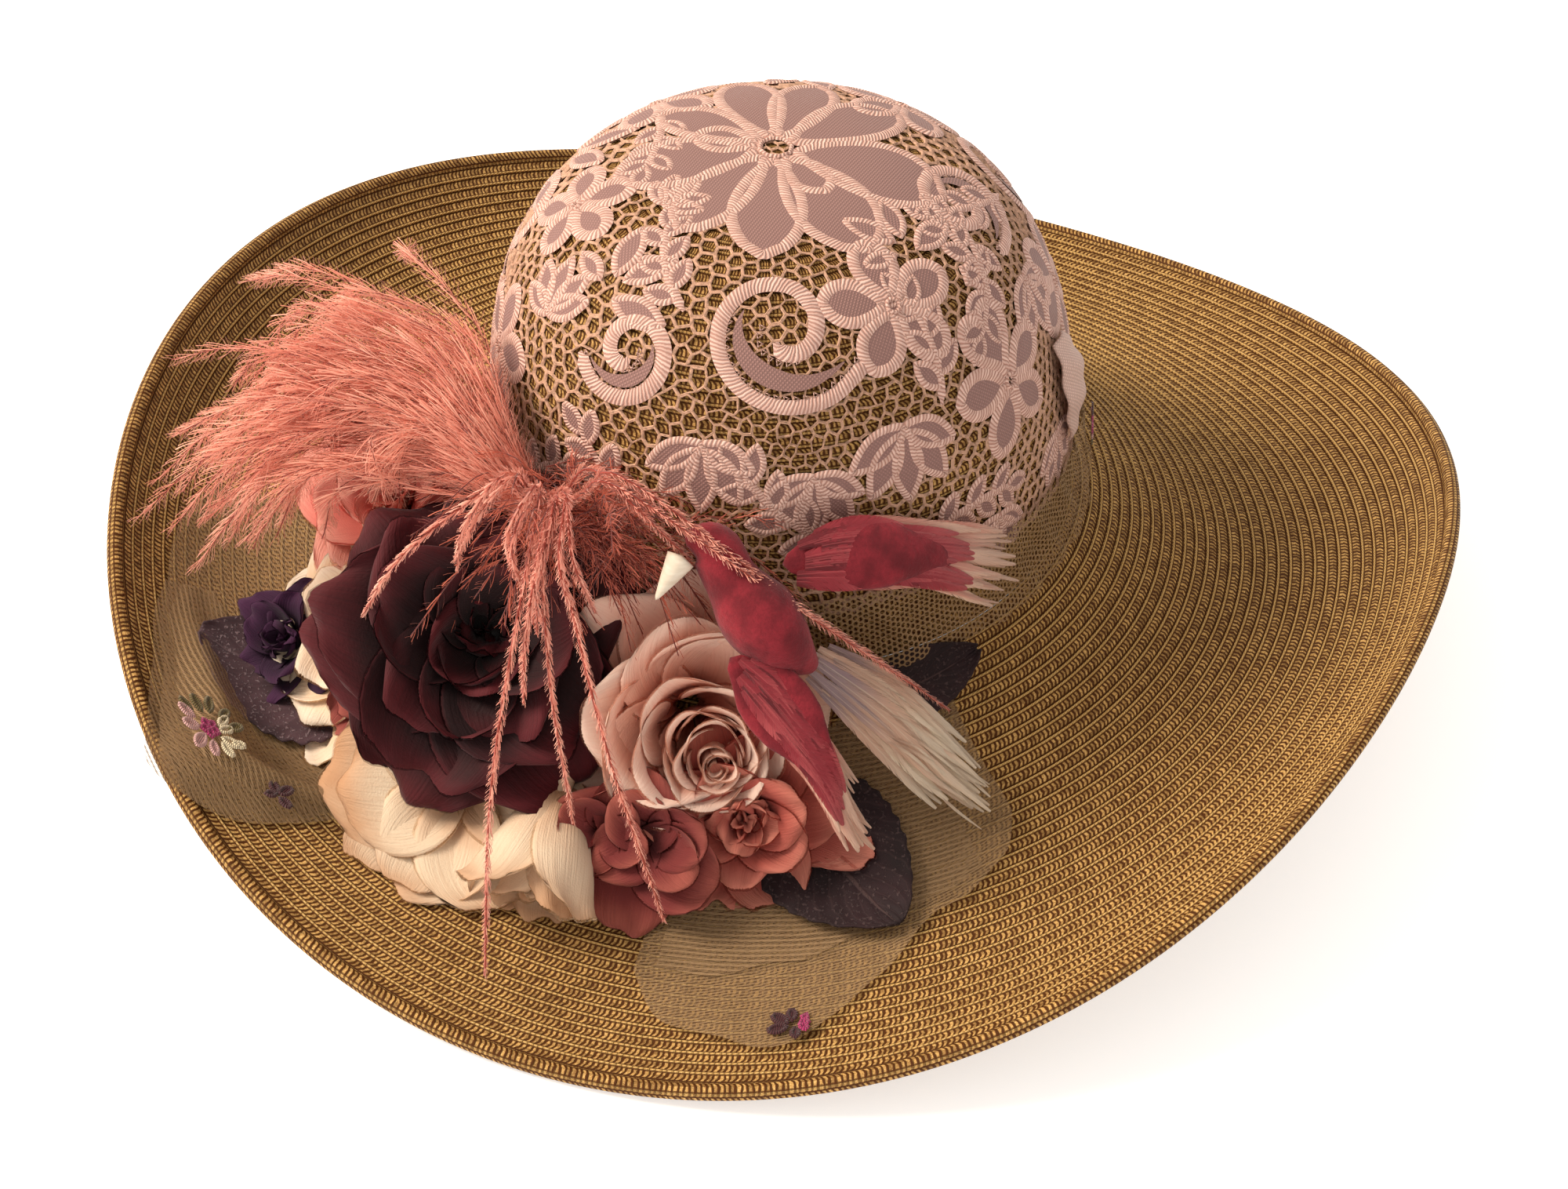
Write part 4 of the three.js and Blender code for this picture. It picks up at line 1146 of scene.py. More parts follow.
class HAT_OT_tulle(bpy.types.Operator):
    """Makes the net scarf: the gathered band and its two spread ends"""

    bl_idname = "hat.tulle"
    bl_label = "Tulle"

    def execute(self, context):
        material = tulle_finish(context.scene.hat_tulle)
        angles = np.linspace(0, 360, ROUND["band"])[None, :]
        height = np.linspace(1, BAND_HEIGHT, 22)[:, None]
        lift = np.interp(height, *BAND_SPREAD)
        phase = np.radians(angles * 36 + height * 9)
        gather = np.sin(phase) + 0.5 * np.sin(phase * 1.75 + height * 0.2)
        gather = gather + 0.5 * np.sin(np.radians(angles * 11) - height * 0.3)
        patch = Patchwork()
        points = crown_point(angles, rise_at(height), LACE_FACE + lift + BAND_CLEAR + BAND_GATHER * gather)
        patch.grid(points, paired(np.radians(angles) * BAND_RADIUS, height))
        band = patch.piece("tulle_band", material, "tulle", ["net_band"])
        cloth(band, (700, 42), "gathered", ["straw_crown"])
        for name, node, rows, double, flat, seed in (
            ("tulle_front", "net_veil_front", FRONT_VEIL, FRONT_DOUBLE, (130, 160), 0.0),
            ("tulle_left", "net_veil_left", LEFT_VEIL, LEFT_DOUBLE, (150, 140), 2.0),
        ):
            patch = Patchwork()
            points, pattern = veil(rows, VEIL_LIFT, 0.6, seed)
            patch.grid(points, pattern, flip=True)
            points, pattern = veil(double, DOUBLE_LIFT, 0.4, seed + 1)
            patch.grid(points, turned(pattern, 30), flip=True)
            piece = patch.piece(name, material, "tulle", [node])
            cloth(piece, flat, "draped", ["straw_brim"])
        return {"FINISHED"}


# Embroidery

OLIVE, CREAM, MAGENTA, PINK, DARK = 0.0, 0.25, 0.5, 0.75, 1.0
# Stitched petals: x, y, turn, length, width, thread
POSY = (
    (-5, 4, 70, 7, 3, OLIVE), (-3, 6, 30, 7, 3, OLIVE), (1, 7, -5, 6, 3, OLIVE), (5, 6, -40, 6, 3, OLIVE),
    (-8, 1, 100, 6, 2.5, OLIVE), (3, 2, -35, 6, 2.6, CREAM), (5, 0, -75, 7, 3, CREAM),
    (2, 4, -5, 6, 2.6, CREAM), (9, 1, -60, 5, 2.5, CREAM), (6, -2, -110, 6, 2.6, CREAM),
    (-3, -3, 130, 7, 3.4, PINK), (0, -4, 175, 8, 3.6, PINK), (-6, -1, 105, 7, 3.2, PINK),
    (3, -4, 215, 6, 3, PINK), *((0, 0, turn, 3.4, 2.8, MAGENTA) for turn in range(0, 360, 72)),
)
SPRIG = (
    (-1, 0, 60, 6, 3, DARK), (-1, -1, 110, 6, 3, DARK), (0, 1, 10, 4.5, 2.6, DARK),
    (1, -1, 190, 4, 2.4, DARK), (2, 0, -60, 3.2, 2.2, MAGENTA), (2, 0, -120, 3.2, 2.2, MAGENTA),
    (3, 1, -20, 3, 2, MAGENTA),
)
DARK_LEAVES = (
    (0, 0, 60, 5, 2.6, DARK), (0, 0, -20, 5.5, 3, DARK), (1, -1, -95, 5, 2.6, DARK),
    (0, 0, 140, 4, 2.2, DARK),
)
SMALL_FLOWER = (
    (0, 0, 0, 4.5, 3, MAGENTA), (0, 0, 75, 4.5, 3, MAGENTA), (0, 0, 150, 4, 3, PINK),
    (0, 0, 225, 4, 3, CREAM), (0, 0, 300, 4.5, 3, MAGENTA), (0, 4, 20, 6, 2.6, DARK),
    (1, -4, 190, 5, 2.6, OLIVE),
)
STITCH_PLACES = (
    (POSY, BrimPlace(233, 131, 38, 14.5)), (SPRIG, BrimPlace(289.7, 117, -8, 3.6)),
    (DARK_LEAVES, BrimPlace(239.5, 116, 20, 10.0)),
)
STITCH_WIDTH = 1.5


class HAT_OT_embroidery(bpy.types.Operator):
    """Makes the small flowers stitched on the tulle"""

    bl_idname = "hat.embroidery"
    bl_label = "Embroidery"

    def execute(self, context):
        finish = Finish("embroidery thread", roughness=0.5, sheen=0.2)
        tint = finish.tint()
        color = finish.mix(finish.span(tint, 0.12, 0.13), srgb(108, 92, 44), srgb(236, 218, 180))
        color = finish.mix(finish.span(tint, 0.37, 0.38), color, srgb(178, 42, 104))
        color = finish.mix(finish.span(tint, 0.62, 0.63), color, srgb(222, 170, 164))
        color = finish.mix(finish.span(tint, 0.87, 0.88), color, srgb(66, 14, 24))
        along, across = finish.pattern()
        thread = finish.wave(finish.times(along, 1.4))
        shade = finish.mix(finish.span(thread, 0.0, 0.5, 0.7, 0.0), color, srgb(50, 30, 26))
        finish.color(shade)
        finish.bump(thread, 0.25)
        patch = Patchwork()
        places = (*STITCH_PLACES, (SMALL_FLOWER, Place(20.5, float(rise_at(23)), 0)))
        for stitches, place in places:
            lift = 0.3 if isinstance(place, BrimPlace) else LACE_FACE + 4.6
            for x, y, turn, length, width, thread_tint in stitches:
                outline = turned(petal_outline(length, width, 0.4), turn) + np.array([x, y])
                satin(patch, outline, place.lay, STITCH_WIDTH, 0.6, closed=True, lift=lift, tint=thread_tint)
                filling(patch, outline, place.lay, lift, thread_tint)
        patch.piece("tulle_stitching", finish.material, "tulle")
        return {"FINISHED"}


# Leaves

# name, foot (angle, run), tip (angle, run), half width, curl
LEAVES = (
    ("leaf_left", (232, 58), (219.5, 114), 27, 2),
    ("leaf_front", (289, 32), (300.5, 88), 24, 3),
    ("leaf_back", (300, 14), (324, 9), 11, 4),
)
LEAF_LIFT = 3.1
LEAF_THICKNESS = 0.5


def leaf_finish(name, color, fleck, vein):
    """Matte leaf cloth with pale specks and a lighter midrib."""
    finish = Finish(name, roughness=0.75, sheen=0.03)
    across, along = finish.pattern()
    rib = finish.span(finish.math("ABSOLUTE", across), 0.015, 0.05, 1.0, 0.0)
    slant = finish.minus(along, finish.times(finish.math("ABSOLUTE", across), 0.45))
    veins = finish.span(finish.wave(finish.times(slant, 9.0)), 0.9, 1.0)
    specks = finish.span(finish.noise(finish.place((900, 900, 900)), 1.0, 2.0), 0.56, 0.66)
    cloudy = finish.noise(finish.place((60, 60, 60)), 1.0, 4.0)
    deep = darker(color, 0.45)
    body = finish.mix(finish.span(cloudy, 0.3, 0.7), deep, color)
    specked = finish.mix(finish.times(specks, 0.75), body, fleck)
    marks = finish.math("MAXIMUM", finish.times(rib, 0.6), finish.times(veins, 0.12))
    finish.color(finish.mix(marks, specked, vein))
    finish.bump(finish.plus(specks, finish.times(marks, 1.5)), 0.25)
    return finish.material


class HAT_OT_leaves(bpy.types.Operator):
    """Makes the three cloth leaves"""

    bl_idname = "hat.leaves"
    bl_label = "Leaves"

    def execute(self, context):
        slate = leaf_finish("slate leaf", srgb(80, 56, 62), srgb(124, 104, 108), srgb(98, 78, 82))
        plum = leaf_finish("plum leaf", srgb(40, 18, 22), srgb(72, 54, 54), srgb(80, 58, 56))
        for name, foot, tip, half, curl in LEAVES:
            reach = float(oval_radius(foot[0])) + (foot[1] + tip[1]) / 2
            along = np.array([math.radians(tip[0] - foot[0]) * reach, tip[1] - foot[1]])
            side = unit(np.array([-along[1], along[0]]))
            share = np.linspace(0.02, 0.985, 46)[:, None]
            out = np.linspace(-1, 1, 33)[None, :]
            width = half * np.sin(np.pi * share**0.85) ** 0.75 * (1 + 0.025 * np.sin(share * 70))
            round_way = math.radians(foot[0]) * reach + along[0] * share + side[0] * out * width
            run = foot[1] + along[1] * share + side[1] * out * width
            crease = 0.9 * np.exp(-((out / 0.07) ** 2)) + 0.35 * np.sin((share - 0.35 * np.abs(out)) * 55)
            lift = LEAF_LIFT + curl * (0.6 * out**2 + share**2) - crease * 0.6
            points = brim_point(np.degrees(round_way / reach), run, lift)
            patch = Patchwork()
            patch.grid(points, paired(out, share), flip=True)
            material, slot = (slate, "slate_leaf") if name == "leaf_left" else (plum, "plum_silk")
            patch.piece("cloth_" + name, material, slot, [name], thickness=LEAF_THICKNESS)
        return {"FINISHED"}


# Silk flowers


# Room under a flower's first petal, and more for each that lies on it
PETAL_CLEAR = 1.0
PETAL_LAYER = 0.3
PETAL_GRID = (15, 17)
SILK_THICKNESS = 0.35


class Bloom:
    """A silk flower that looks along its own axis."""

    def __init__(self, face, aim, tilt, radius, depth, seed):
        way, rise = math.radians(aim), math.radians(tilt)
        level = math.cos(rise)
        self.facing = np.array([level * math.cos(way), level * math.sin(way), math.sin(rise)])
        self.across = unit(np.cross([0, 0, 1], self.facing))
        self.upward = np.cross(self.facing, self.across)
        self.radius = radius
        self.depth = depth
        self.seat = np.array(face, float) - self.facing * depth
        self.chance = np.random.default_rng(seed)
        self.patch = Patchwork()
        self.petals = 0

    def whorl(self, count, foot, height, length, width, opens, roll, ruffle, start, eye):
        """Petals round the axis. They open from the foot's angle to the tip's, and then roll back."""
        for petal in range(count):
            turn = start + (petal + 0.5 * self.chance.uniform(-0.5, 0.5)) * 360 / count
            own = length * self.chance.uniform(0.92, 1.06)
            self.petal(turn, foot, height, own, width, opens, roll, ruffle, eye)

    def petal(self, turn, foot, height, length, width, opens, roll, ruffle, eye=(0, 0)):
        """One petal, laid out in rows from its foot to its edge."""
        rows, columns = PETAL_GRID
        t = np.linspace(0, 1, rows)[:, None]
        s = np.linspace(-1, 1, columns)[None, :]
        lean = self.chance.uniform(-6, 6)
        rolled = roll * np.clip((t - 0.68) / 0.32, 0, 1) ** 2
        bend = np.radians(opens[0] + lean + (opens[1] - opens[0]) * t**0.8 + rolled)
        long = length * self.radius
        step = long / (rows - 1)
        reach = foot * self.radius + np.concatenate([[[0]], np.cumsum(np.sin(bend[:-1]) * step, axis=0)])
        high = height * self.depth + np.concatenate([[[0]], np.cumsum(np.cos(bend[:-1]) * step, axis=0)])
        rounding = np.sqrt(1 - 0.68 * np.clip((t - 0.6) / 0.4, 0, 1) ** 2.6)
        swelling = 0.34 + 0.66 * np.sin(np.pi / 2 * np.clip(t / 0.62, 0, 1))
        half = width * self.radius / 2 * swelling * rounding
        sag = -0.15 * long * s**2 * np.clip((t - 0.45) / 0.55, 0, 1) ** 1.6
        reach = reach + np.sin(bend) * sag
        high = high + np.cos(bend) * sag
        swing = half * s / np.maximum(reach, half * 0.42)
        phase = self.chance.uniform(0, 6.28, 3)
        edge = np.clip(np.maximum(np.abs(s) ** 2, (t - 0.4) / 0.6), 0, 1) ** 1.4 * t
        wave = np.sin(s * 3.6 + phase[0]) + 0.55 * np.sin(s * 8 + t * 3 + phase[1])
        wave = wave + 0.5 * np.sin(t * 7 + phase[2])
        frill = ruffle * self.radius * edge * wave
        cup = half * (0.22 * s**2 - 0.2 * s**4 * t)
        reach = np.maximum(reach - np.cos(bend) * (frill + cup), 0.3)
        high = high + np.sin(bend) * (frill + cup)
        way = math.radians(turn) + swing
        points = (
            self.seat
            + self.facing * high[..., None]
            + self.across * (np.cos(way) * reach + eye[0] * self.radius)[..., None]
            + self.upward * (np.sin(way) * reach + eye[1] * self.radius)[..., None]
        )
        pattern = paired(self.petals + 0.5 + s * 0.49, t)
        points = over_brim(points, PETAL_CLEAR + PETAL_LAYER * self.petals)
        self.patch.grid(points, pattern, tint=np.broadcast_to(t, (rows, columns)))
        self.petals += 1


def silk_finish(name, deep, middle, edge, fray, line):
    """Petal silk: deeper at the foot, in painted shade where the petals crowd into the flower's heart, with
    fine veins, a paler edge line and a frayed edge.
    """
    finish = Finish(name, roughness=0.75, sheen=0.08)
    across, along = finish.pattern()
    petal = finish.math("FLOOR", across)
    side = finish.math("ABSOLUTE", finish.minus(finish.math("FRACT", across), 0.5))
    rim = finish.math("MINIMUM", finish.minus(0.49, side), finish.minus(1.0, along))
    veins = finish.noise(finish.vector(finish.times(across, 34.0), along), 2.0, 3.0)
    crossed = finish.vector(finish.times(across, 60.0), finish.times(along, 60.0))
    threads = finish.noise(crossed, 1.0)
    chance = finish.chance(petal, 0.5)
    cloudy = finish.noise(finish.place((70, 70, 70)), 1.0, 3.0)
    depth = finish.math("MULTIPLY_ADD", cloudy, 0.35)
    depth.node.inputs[2].default_value = -0.18
    height = finish.plus(finish.plus(along, depth), finish.times(chance, 0.15))
    # The deep colour at the petal's foot is painted shade in the flower's heart.
    low = finish.mix(finish.span(height, 0.1, 0.65), deep, middle)
    body = finish.mix(finish.span(height, 0.65, 1.15), low, edge)
    veined = finish.mix(finish.span(veins, 0.35, 0.75, 0.0, 0.2), body, deep)
    paler = finish.times(finish.span(rim, 0.0, 0.035, 1.0, 0.0), line)
    finish.color(finish.mix(paler, veined, edge))
    finish.bump(finish.plus(veins, finish.times(threads, 0.5)), 0.35)
    finish.thin(0.25, middle)
    ragged = finish.times(threads, fray)
    finish.holes(finish.span(finish.minus(rim, ragged), 0.0, 0.006))
    return finish.material


# Each whorl: petals, foot, height, length, width, opening angles, roll, ruffle, and its middle's place
OPEN_ROSE = (
    (6, 0.12, 0.54, 1.04, 1.5, (68, 98), 30, 0.08, (0, 0)),
    (5, 0.12, 0.54, 0.92, 1.45, (52, 86), 40, 0.08, (0, 0)),
    (5, 0.14, 0.48, 0.74, 1.25, (24, 68), 45, 0.075, (0, 0.04)),
    (4, 0.14, 0.38, 0.58, 1.05, (4, 42), 40, 0.07, (0.03, 0.08)),
    (4, 0.12, 0.28, 0.46, 0.8, (0, 22), 35, 0.08, (0.05, 0.12)),
    (3, 0.07, 0.22, 0.4, 0.6, (-4, 14), 35, 0.07, (0.06, 0.14)),
)
SPIRAL_ROSE = (
    (5, 0.12, 0.24, 1.1, 1.5, (60, 84), 30, 0.05, (0, 0.04)),
    (5, 0.14, 0.3, 1.0, 1.5, (34, 58), 45, 0.045, (0.02, 0.0)),
    (2, 0.42, 0.3, 0.86, 1.7, (14, 24), 70, 0.03, (0.02, 0.06)),
    (4, 0.36, 0.34, 0.76, 1.4, (8, 20), 60, 0.03, (0.12, -0.16)),
    (4, 0.3, 0.38, 0.68, 1.15, (4, 10), 60, 0.025, (0.17, -0.25)),
    (3, 0.22, 0.42, 0.62, 0.95, (2, 6), 55, 0.02, (0.2, -0.3)),
    (3, 0.15, 0.44, 0.58, 0.7, (0, 3), 50, 0.015, (0.22, -0.34)),
    (2, 0.08, 0.45, 0.54, 0.5, (0, 2), 40, 0.01, (0.23, -0.36)),
)
WIDE_PETALS = (
    (4, 0.1, 0.3, 1.15, 1.6, (46, 78), 40, 0.05, (0, 0)),
    (4, 0.1, 0.36, 0.95, 1.45, (26, 60), 45, 0.05, (0, 0)),
    (3, 0.08, 0.4, 0.76, 1.2, (10, 40), 45, 0.05, (0.05, 0.05)),
    (3, 0.05, 0.42, 0.56, 0.85, (0, 18), 35, 0.04, (0.08, 0.08)),
)
SPREAD_PETALS = (
    (5, 0.1, 0.3, 1.25, 1.6, (60, 86), 40, 0.06, (0, 0)),
    (4, 0.1, 0.4, 1.02, 1.5, (42, 76), 45, 0.06, (0, 0)),
    (3, 0.1, 0.45, 0.8, 1.3, (28, 60), 45, 0.06, (0, 0.1)),
)
LOW_PETALS = (
    (6, 0.1, 0.1, 1.25, 1.6, (72, 94), 40, 0.05, (0, 0)),
    (5, 0.1, 0.3, 1.0, 1.5, (64, 88), 45, 0.05, (0, 0)),
)
FRILLED = (
    (6, 0.1, 0.3, 1.1, 1.15, (52, 84), 20, 0.075, (0, 0)),
    (5, 0.08, 0.38, 0.9, 1.1, (28, 62), 25, 0.075, (0, 0)),
    (4, 0.05, 0.4, 0.68, 0.9, (8, 40), 25, 0.1, (0, 0)),
    (3, 0.02, 0.42, 0.5, 0.6, (0, 18), 15, 0.08, (0, 0)),
)
FLAT_FOUR = (
    (4, 0.08, 0.5, 1.1, 1.4, (62, 92), 25, 0.06, (0, 0)),
    (4, 0.06, 0.56, 0.84, 1.1, (44, 80), 20, 0.06, (0.25, 0.2)),
    (4, 0.06, 0.58, 0.7, 0.9, (40, 76), 20, 0.06, (-0.35, 0.15)),
)
FURLED = (
    (3, 0.3, 0.05, 2.5, 2.2, (30, 4), 35, 0.1, (0, 0)),
    (3, 0.2, 0.1, 2.2, 1.9, (20, 0), 40, 0.09, (0.1, 0.15)),
    (2, 0.1, 0.12, 1.9, 1.4, (10, 0), 40, 0.07, (0.1, 0.2)),
)

# node, finish, slot, whorls, face, aim, tilt, radius, depth
FLOWERS = (
    ("rose_burgundy", "burgundy", "burgundy_silk", OPEN_ROSE, (-50.5, -140, 28), 290, 44, 47, 44),
    ("rose_blush", "blush", "blush_silk", SPIRAL_ROSE, (16, -139, 18), 292, 34, 37, 44),
    ("rose_cream_left", "cream", "cream_silk", SPREAD_PETALS, (-104, -122, -2), 232, 42, 34, 26),
    ("rose_cream_front", "old cream", "cream_silk", LOW_PETALS, (-52, -160, -15), 268, 46, 35, 18),
    ("bud_cream", "old cream", "cream_silk", FURLED, (-19, -184, -33), 274, -22, 18, 44),
    ("flower_coral", "coral", "coral_silk", WIDE_PETALS, (-110, -86, 22), 246, 50, 32, 30),
    ("petals_dusty", "dusty", "dusty_coral_silk", FRILLED, (-87, -139, -3), 248, 42, 20, 18),
    ("flower_purple", "purple", "plum_silk", FRILLED, (-128, -124, -12), 235, 48, 21, 20),
    ("flower_hydrangea", "dusty", "dusty_coral_silk", FLAT_FOUR, (6, -163, -16), 275, 34, 24, 22),
    ("flower_carnation", "darker coral", "coral_silk", FRILLED, (36, -145, -10), 290, 32, 28, 26),
)
HANGING_PETAL = {
    "turn": -38, "foot": 0.2, "height": 0.3, "length": 1.6, "width": 1.0, "opens": (84, 104), "roll": 10,
    "ruffle": 0.1,
}
# Turn of each whorl past the one outside it
WHORL_TURN = 37
# name, deep (painted shade at each petal's foot), middle, edge, fray, and how much of the edge's colour its
# rim has
SILKS = {
    "burgundy": (srgb(5, 0, 1), srgb(34, 3, 7), srgb(92, 20, 28), 0.012, 0.4),
    "blush": (srgb(212, 116, 92), srgb(246, 196, 174), srgb(252, 226, 208), 0.03, 0.4),
    "cream": (srgb(214, 132, 92), srgb(242, 210, 172), srgb(252, 238, 218), 0.03, 0.3),
    "old cream": (srgb(200, 152, 116), srgb(238, 216, 188), srgb(204, 156, 118), 0.03, 0.8),
    "coral": (srgb(206, 88, 88), srgb(242, 142, 128), srgb(252, 188, 168), 0.04, 0.3),
    # The carnation's silk is a darker copy of the coral silk.
    "darker coral": (srgb(120, 38, 38), srgb(190, 92, 80), srgb(220, 138, 118), 0.04, 0.4),
    "dusty": (srgb(70, 18, 22), srgb(132, 52, 50), srgb(184, 98, 84), 0.035, 0.35),
    "purple": (srgb(14, 4, 16), srgb(48, 14, 46), srgb(76, 32, 70), 0.015, 0.2),
}


class HAT_OT_flowers(bpy.types.Operator):
    """Makes the silk flowers"""

    bl_idname = "hat.flowers"
    bl_label = "Flowers"

    def execute(self, context):
        finishes = {key: silk_finish(key + " silk", *colors) for key, colors in SILKS.items()}
        for seed, (node, silk, slot, whorls, face, aim, tilt, radius, depth) in enumerate(FLOWERS):
            bloom = Bloom(face, aim, tilt, radius, depth, seed)
            for place, (*whorl, eye) in enumerate(whorls):
                bloom.whorl(*whorl, start=place * WHORL_TURN, eye=eye)
            if node == "flower_carnation":
                bloom.petal(**HANGING_PETAL)
            cloth_name = "silk_" + node
            bloom.patch.piece(cloth_name, finishes[silk], slot, [node], weld=False, thickness=SILK_THICKNESS)
        return {"FINISHED"}


# Feathers


class FeatherTree(NodeMaker):
    """A Geometry Nodes tree that sets barbs along curves."""

    def __init__(self, name, inputs):
        self.tree = bpy.data.node_groups.new(name, "GeometryNodeTree")
        self.tree.is_modifier = True
        face = self.tree.interface
        face.new_socket("Geometry", in_out="INPUT", socket_type="NodeSocketGeometry")
        face.new_socket("Geometry", in_out="OUTPUT", socket_type="NodeSocketGeometry")
        self.keys = {}
        for key, (kind, value) in inputs.items():
            socket = face.new_socket(key, in_out="INPUT", socket_type="NodeSocket" + kind)
            if value is not None:
                socket.default_value = value
            self.keys[key] = socket.identifier
        self.source = self.tree.nodes.new("NodeGroupInput")
        self.result = self.tree.nodes.new("NodeGroupOutput")

    def given(self, name):
        """One of the tree's own inputs."""
        return self.source.outputs[name]

    def close(self, geometry, material):
        """Ends the tree in real meshes with a material."""
        solid = self.add("GeometryNodeRealizeInstances", {0: geometry})
        painted = self.add("GeometryNodeSetMaterial", {0: solid, "Material": material})
        self.tree.links.new(painted, self.result.inputs[0])


def feather_tree(name):
    """Barbs that spring in pairs from a quill and get shorter to its tip."""
    tree = FeatherTree(name, {
        "Spacing": ("Float", 0.001), "Barb": ("Float", 0.012), "Width": ("Float", 0.0003),
        "Quill": ("Float", 0.0004), "Fluff": ("Float", 3.1), "Seed": ("Int", 1), "Finish": ("Material", None),
    })
    factor = tree.add("GeometryNodeSplineParameter")
    capture = tree.tree.nodes.new("GeometryNodeCaptureAttribute")
    capture.capture_items.new("FLOAT", "share")
    tree.tree.links.new(tree.given("Geometry"), capture.inputs[0])
    tree.tree.links.new(factor, capture.inputs[1])
    points = tree.tree.nodes.new("GeometryNodeCurveToPoints")
    points.mode = "LENGTH"
    tree.tree.links.new(capture.outputs[0], points.inputs["Curve"])
    tree.tree.links.new(tree.given("Spacing"), points.inputs["Length"])
    arc = tree.add("GeometryNodeCurveQuadraticBezier", {
        "Resolution": 2, "Start": (0, 0, 0), "Middle": (0, 0.42, 0.3), "End": (0, 0.62, 0.78),
    })
    line = tree.add("GeometryNodeCurvePrimitiveLine", {"Start": (-0.5, 0, 0), "End": (0.5, 0, 0)})
    narrow = tree.math("DIVIDE", tree.given("Width"), tree.given("Barb"))
    wide = tree.add("GeometryNodeTransform", {
        0: line, "Scale": tree.add("ShaderNodeCombineXYZ", {0: narrow, 1: narrow, 2: narrow}),
    })
    barb = tree.add("GeometryNodeCurveToMesh", {0: arc, 1: wide})
    spin = tree.add("FunctionNodeRandomValue", {
        2: tree.times(tree.given("Fluff"), -1.0), 3: tree.given("Fluff"), "Seed": tree.given("Seed"),
    }, output=1)
    tip = tree.add("FunctionNodeRandomValue", {2: -0.35, 3: 0.35, "Seed": tree.given("Seed")}, output=1)
    turn = tree.add("ShaderNodeCombineXYZ", {0: tip, 1: 0.0, 2: spin})
    rotated = tree.add("FunctionNodeRotateRotation", {
        0: points.outputs["Rotation"], 1: tree.add("FunctionNodeEulerToRotation", {0: turn}),
    }, rotation_space="LOCAL")
    share = capture.outputs[1]
    taper = tree.math("POWER", tree.minus(1.02, share), 0.3)
    sprout = tree.math("POWER", tree.plus(share, 0.02), 0.25)
    chance = tree.add("FunctionNodeRandomValue", {2: 0.55, 3: 1.15, "Seed": tree.given("Seed")}, output=1)
    size = tree.times(tree.times(taper, sprout), tree.times(chance, tree.given("Barb")))
    placed = tree.add("GeometryNodeInstanceOnPoints", {
        "Points": points.outputs[0], "Instance": barb, "Rotation": rotated,
        "Scale": tree.add("ShaderNodeCombineXYZ", {0: size, 1: size, 2: size}),
    })
    tinted = tree.add("GeometryNodeStoreNamedAttribute", {
        0: placed, "Name": "tint", "Value": tree.add("FunctionNodeRandomValue", {2: 0.25, 3: 1.0}, output=1),
    }, data_type="FLOAT", domain="INSTANCE")
    round_end = tree.add("GeometryNodeCurvePrimitiveCircle", {"Resolution": 3, "Radius": 1.0})
    ring = tree.add("GeometryNodeTransform", {
        0: round_end,
        "Scale": tree.add("ShaderNodeCombineXYZ", {key: tree.given("Quill") for key in range(3)}),
    })
    quill = tree.add("GeometryNodeCurveToMesh", {0: tree.given("Geometry"), 1: ring})
    dark = tree.add("GeometryNodeStoreNamedAttribute", {0: quill, "Name": "tint", "Value": 0.0},
                    data_type="FLOAT", domain="POINT")
    join = tree.tree.nodes.new("GeometryNodeJoinGeometry")
    tree.tree.links.new(tinted, join.inputs[0])
    tree.tree.links.new(dark, join.inputs[0])
    tree.close(join.outputs[0], tree.given("Finish"))
    return tree


def feathered(tree, name, paths, values, material, replaced=()):
    """Runs the tree on curves and keeps the result as a plain mesh."""
    curves = bpy.data.curves.new(name, "CURVE")
    curves.dimensions = "3D"
    for path in paths:
        spline = curves.splines.new("POLY")
        spline.points.add(len(path) - 1)
        placed = np.concatenate([(path + SHIFT) * MM, np.ones((len(path), 1))], axis=1)
        spline.points.foreach_set("co", placed.ravel())
    guide = linked(name + "_guide", curves)
    modifier = guide.modifiers.new("feathers", "NODES")
    modifier.node_group = tree.tree
    for key, value in {**values, "Finish": material}.items():
        modifier[tree.keys[key]] = value
    seen = guide.evaluated_get(bpy.context.evaluated_depsgraph_get())
    mesh = bpy.data.meshes.new_from_object(seen)
    mesh.name = name
    bpy.data.objects.remove(guide)
    return worn(linked(name, mesh), replaced)


PLUME_ROOT = np.array([-40.0, -109.0, 54.0])
# via, end, spread, herls
FAN = (
    ((-80, -66, 86), (-147, -5, 60), 1.5, 1), ((-88, -70, 82), (-180, -35, 52), 2, 2),
    ((-82, -76, 82), (-139, -56, 60), 6, 9), ((-88, -82, 79), (-155, -66, 54), 7, 12),
    ((-90, -87, 75), (-161, -78, 47), 8, 13), ((-91, -92, 70), (-163, -92, 39), 8, 13),
    ((-90, -97, 64), (-162, -105, 31), 8, 12), ((-86, -99, 60), (-154, -116, 24), 8, 11),
    ((-82, -99, 58), (-140, -121, 18), 7, 9), ((-86, -97, 64), (-174, -123, 20), 2, 2),
    ((-84, -99, 60), (-157, -141, 16), 2, 2), ((-82, -90, 72), (-134, -94, 42), 9, 14),
    ((-70, -97, 68), (-106, -112, 44), 7, 8),
)
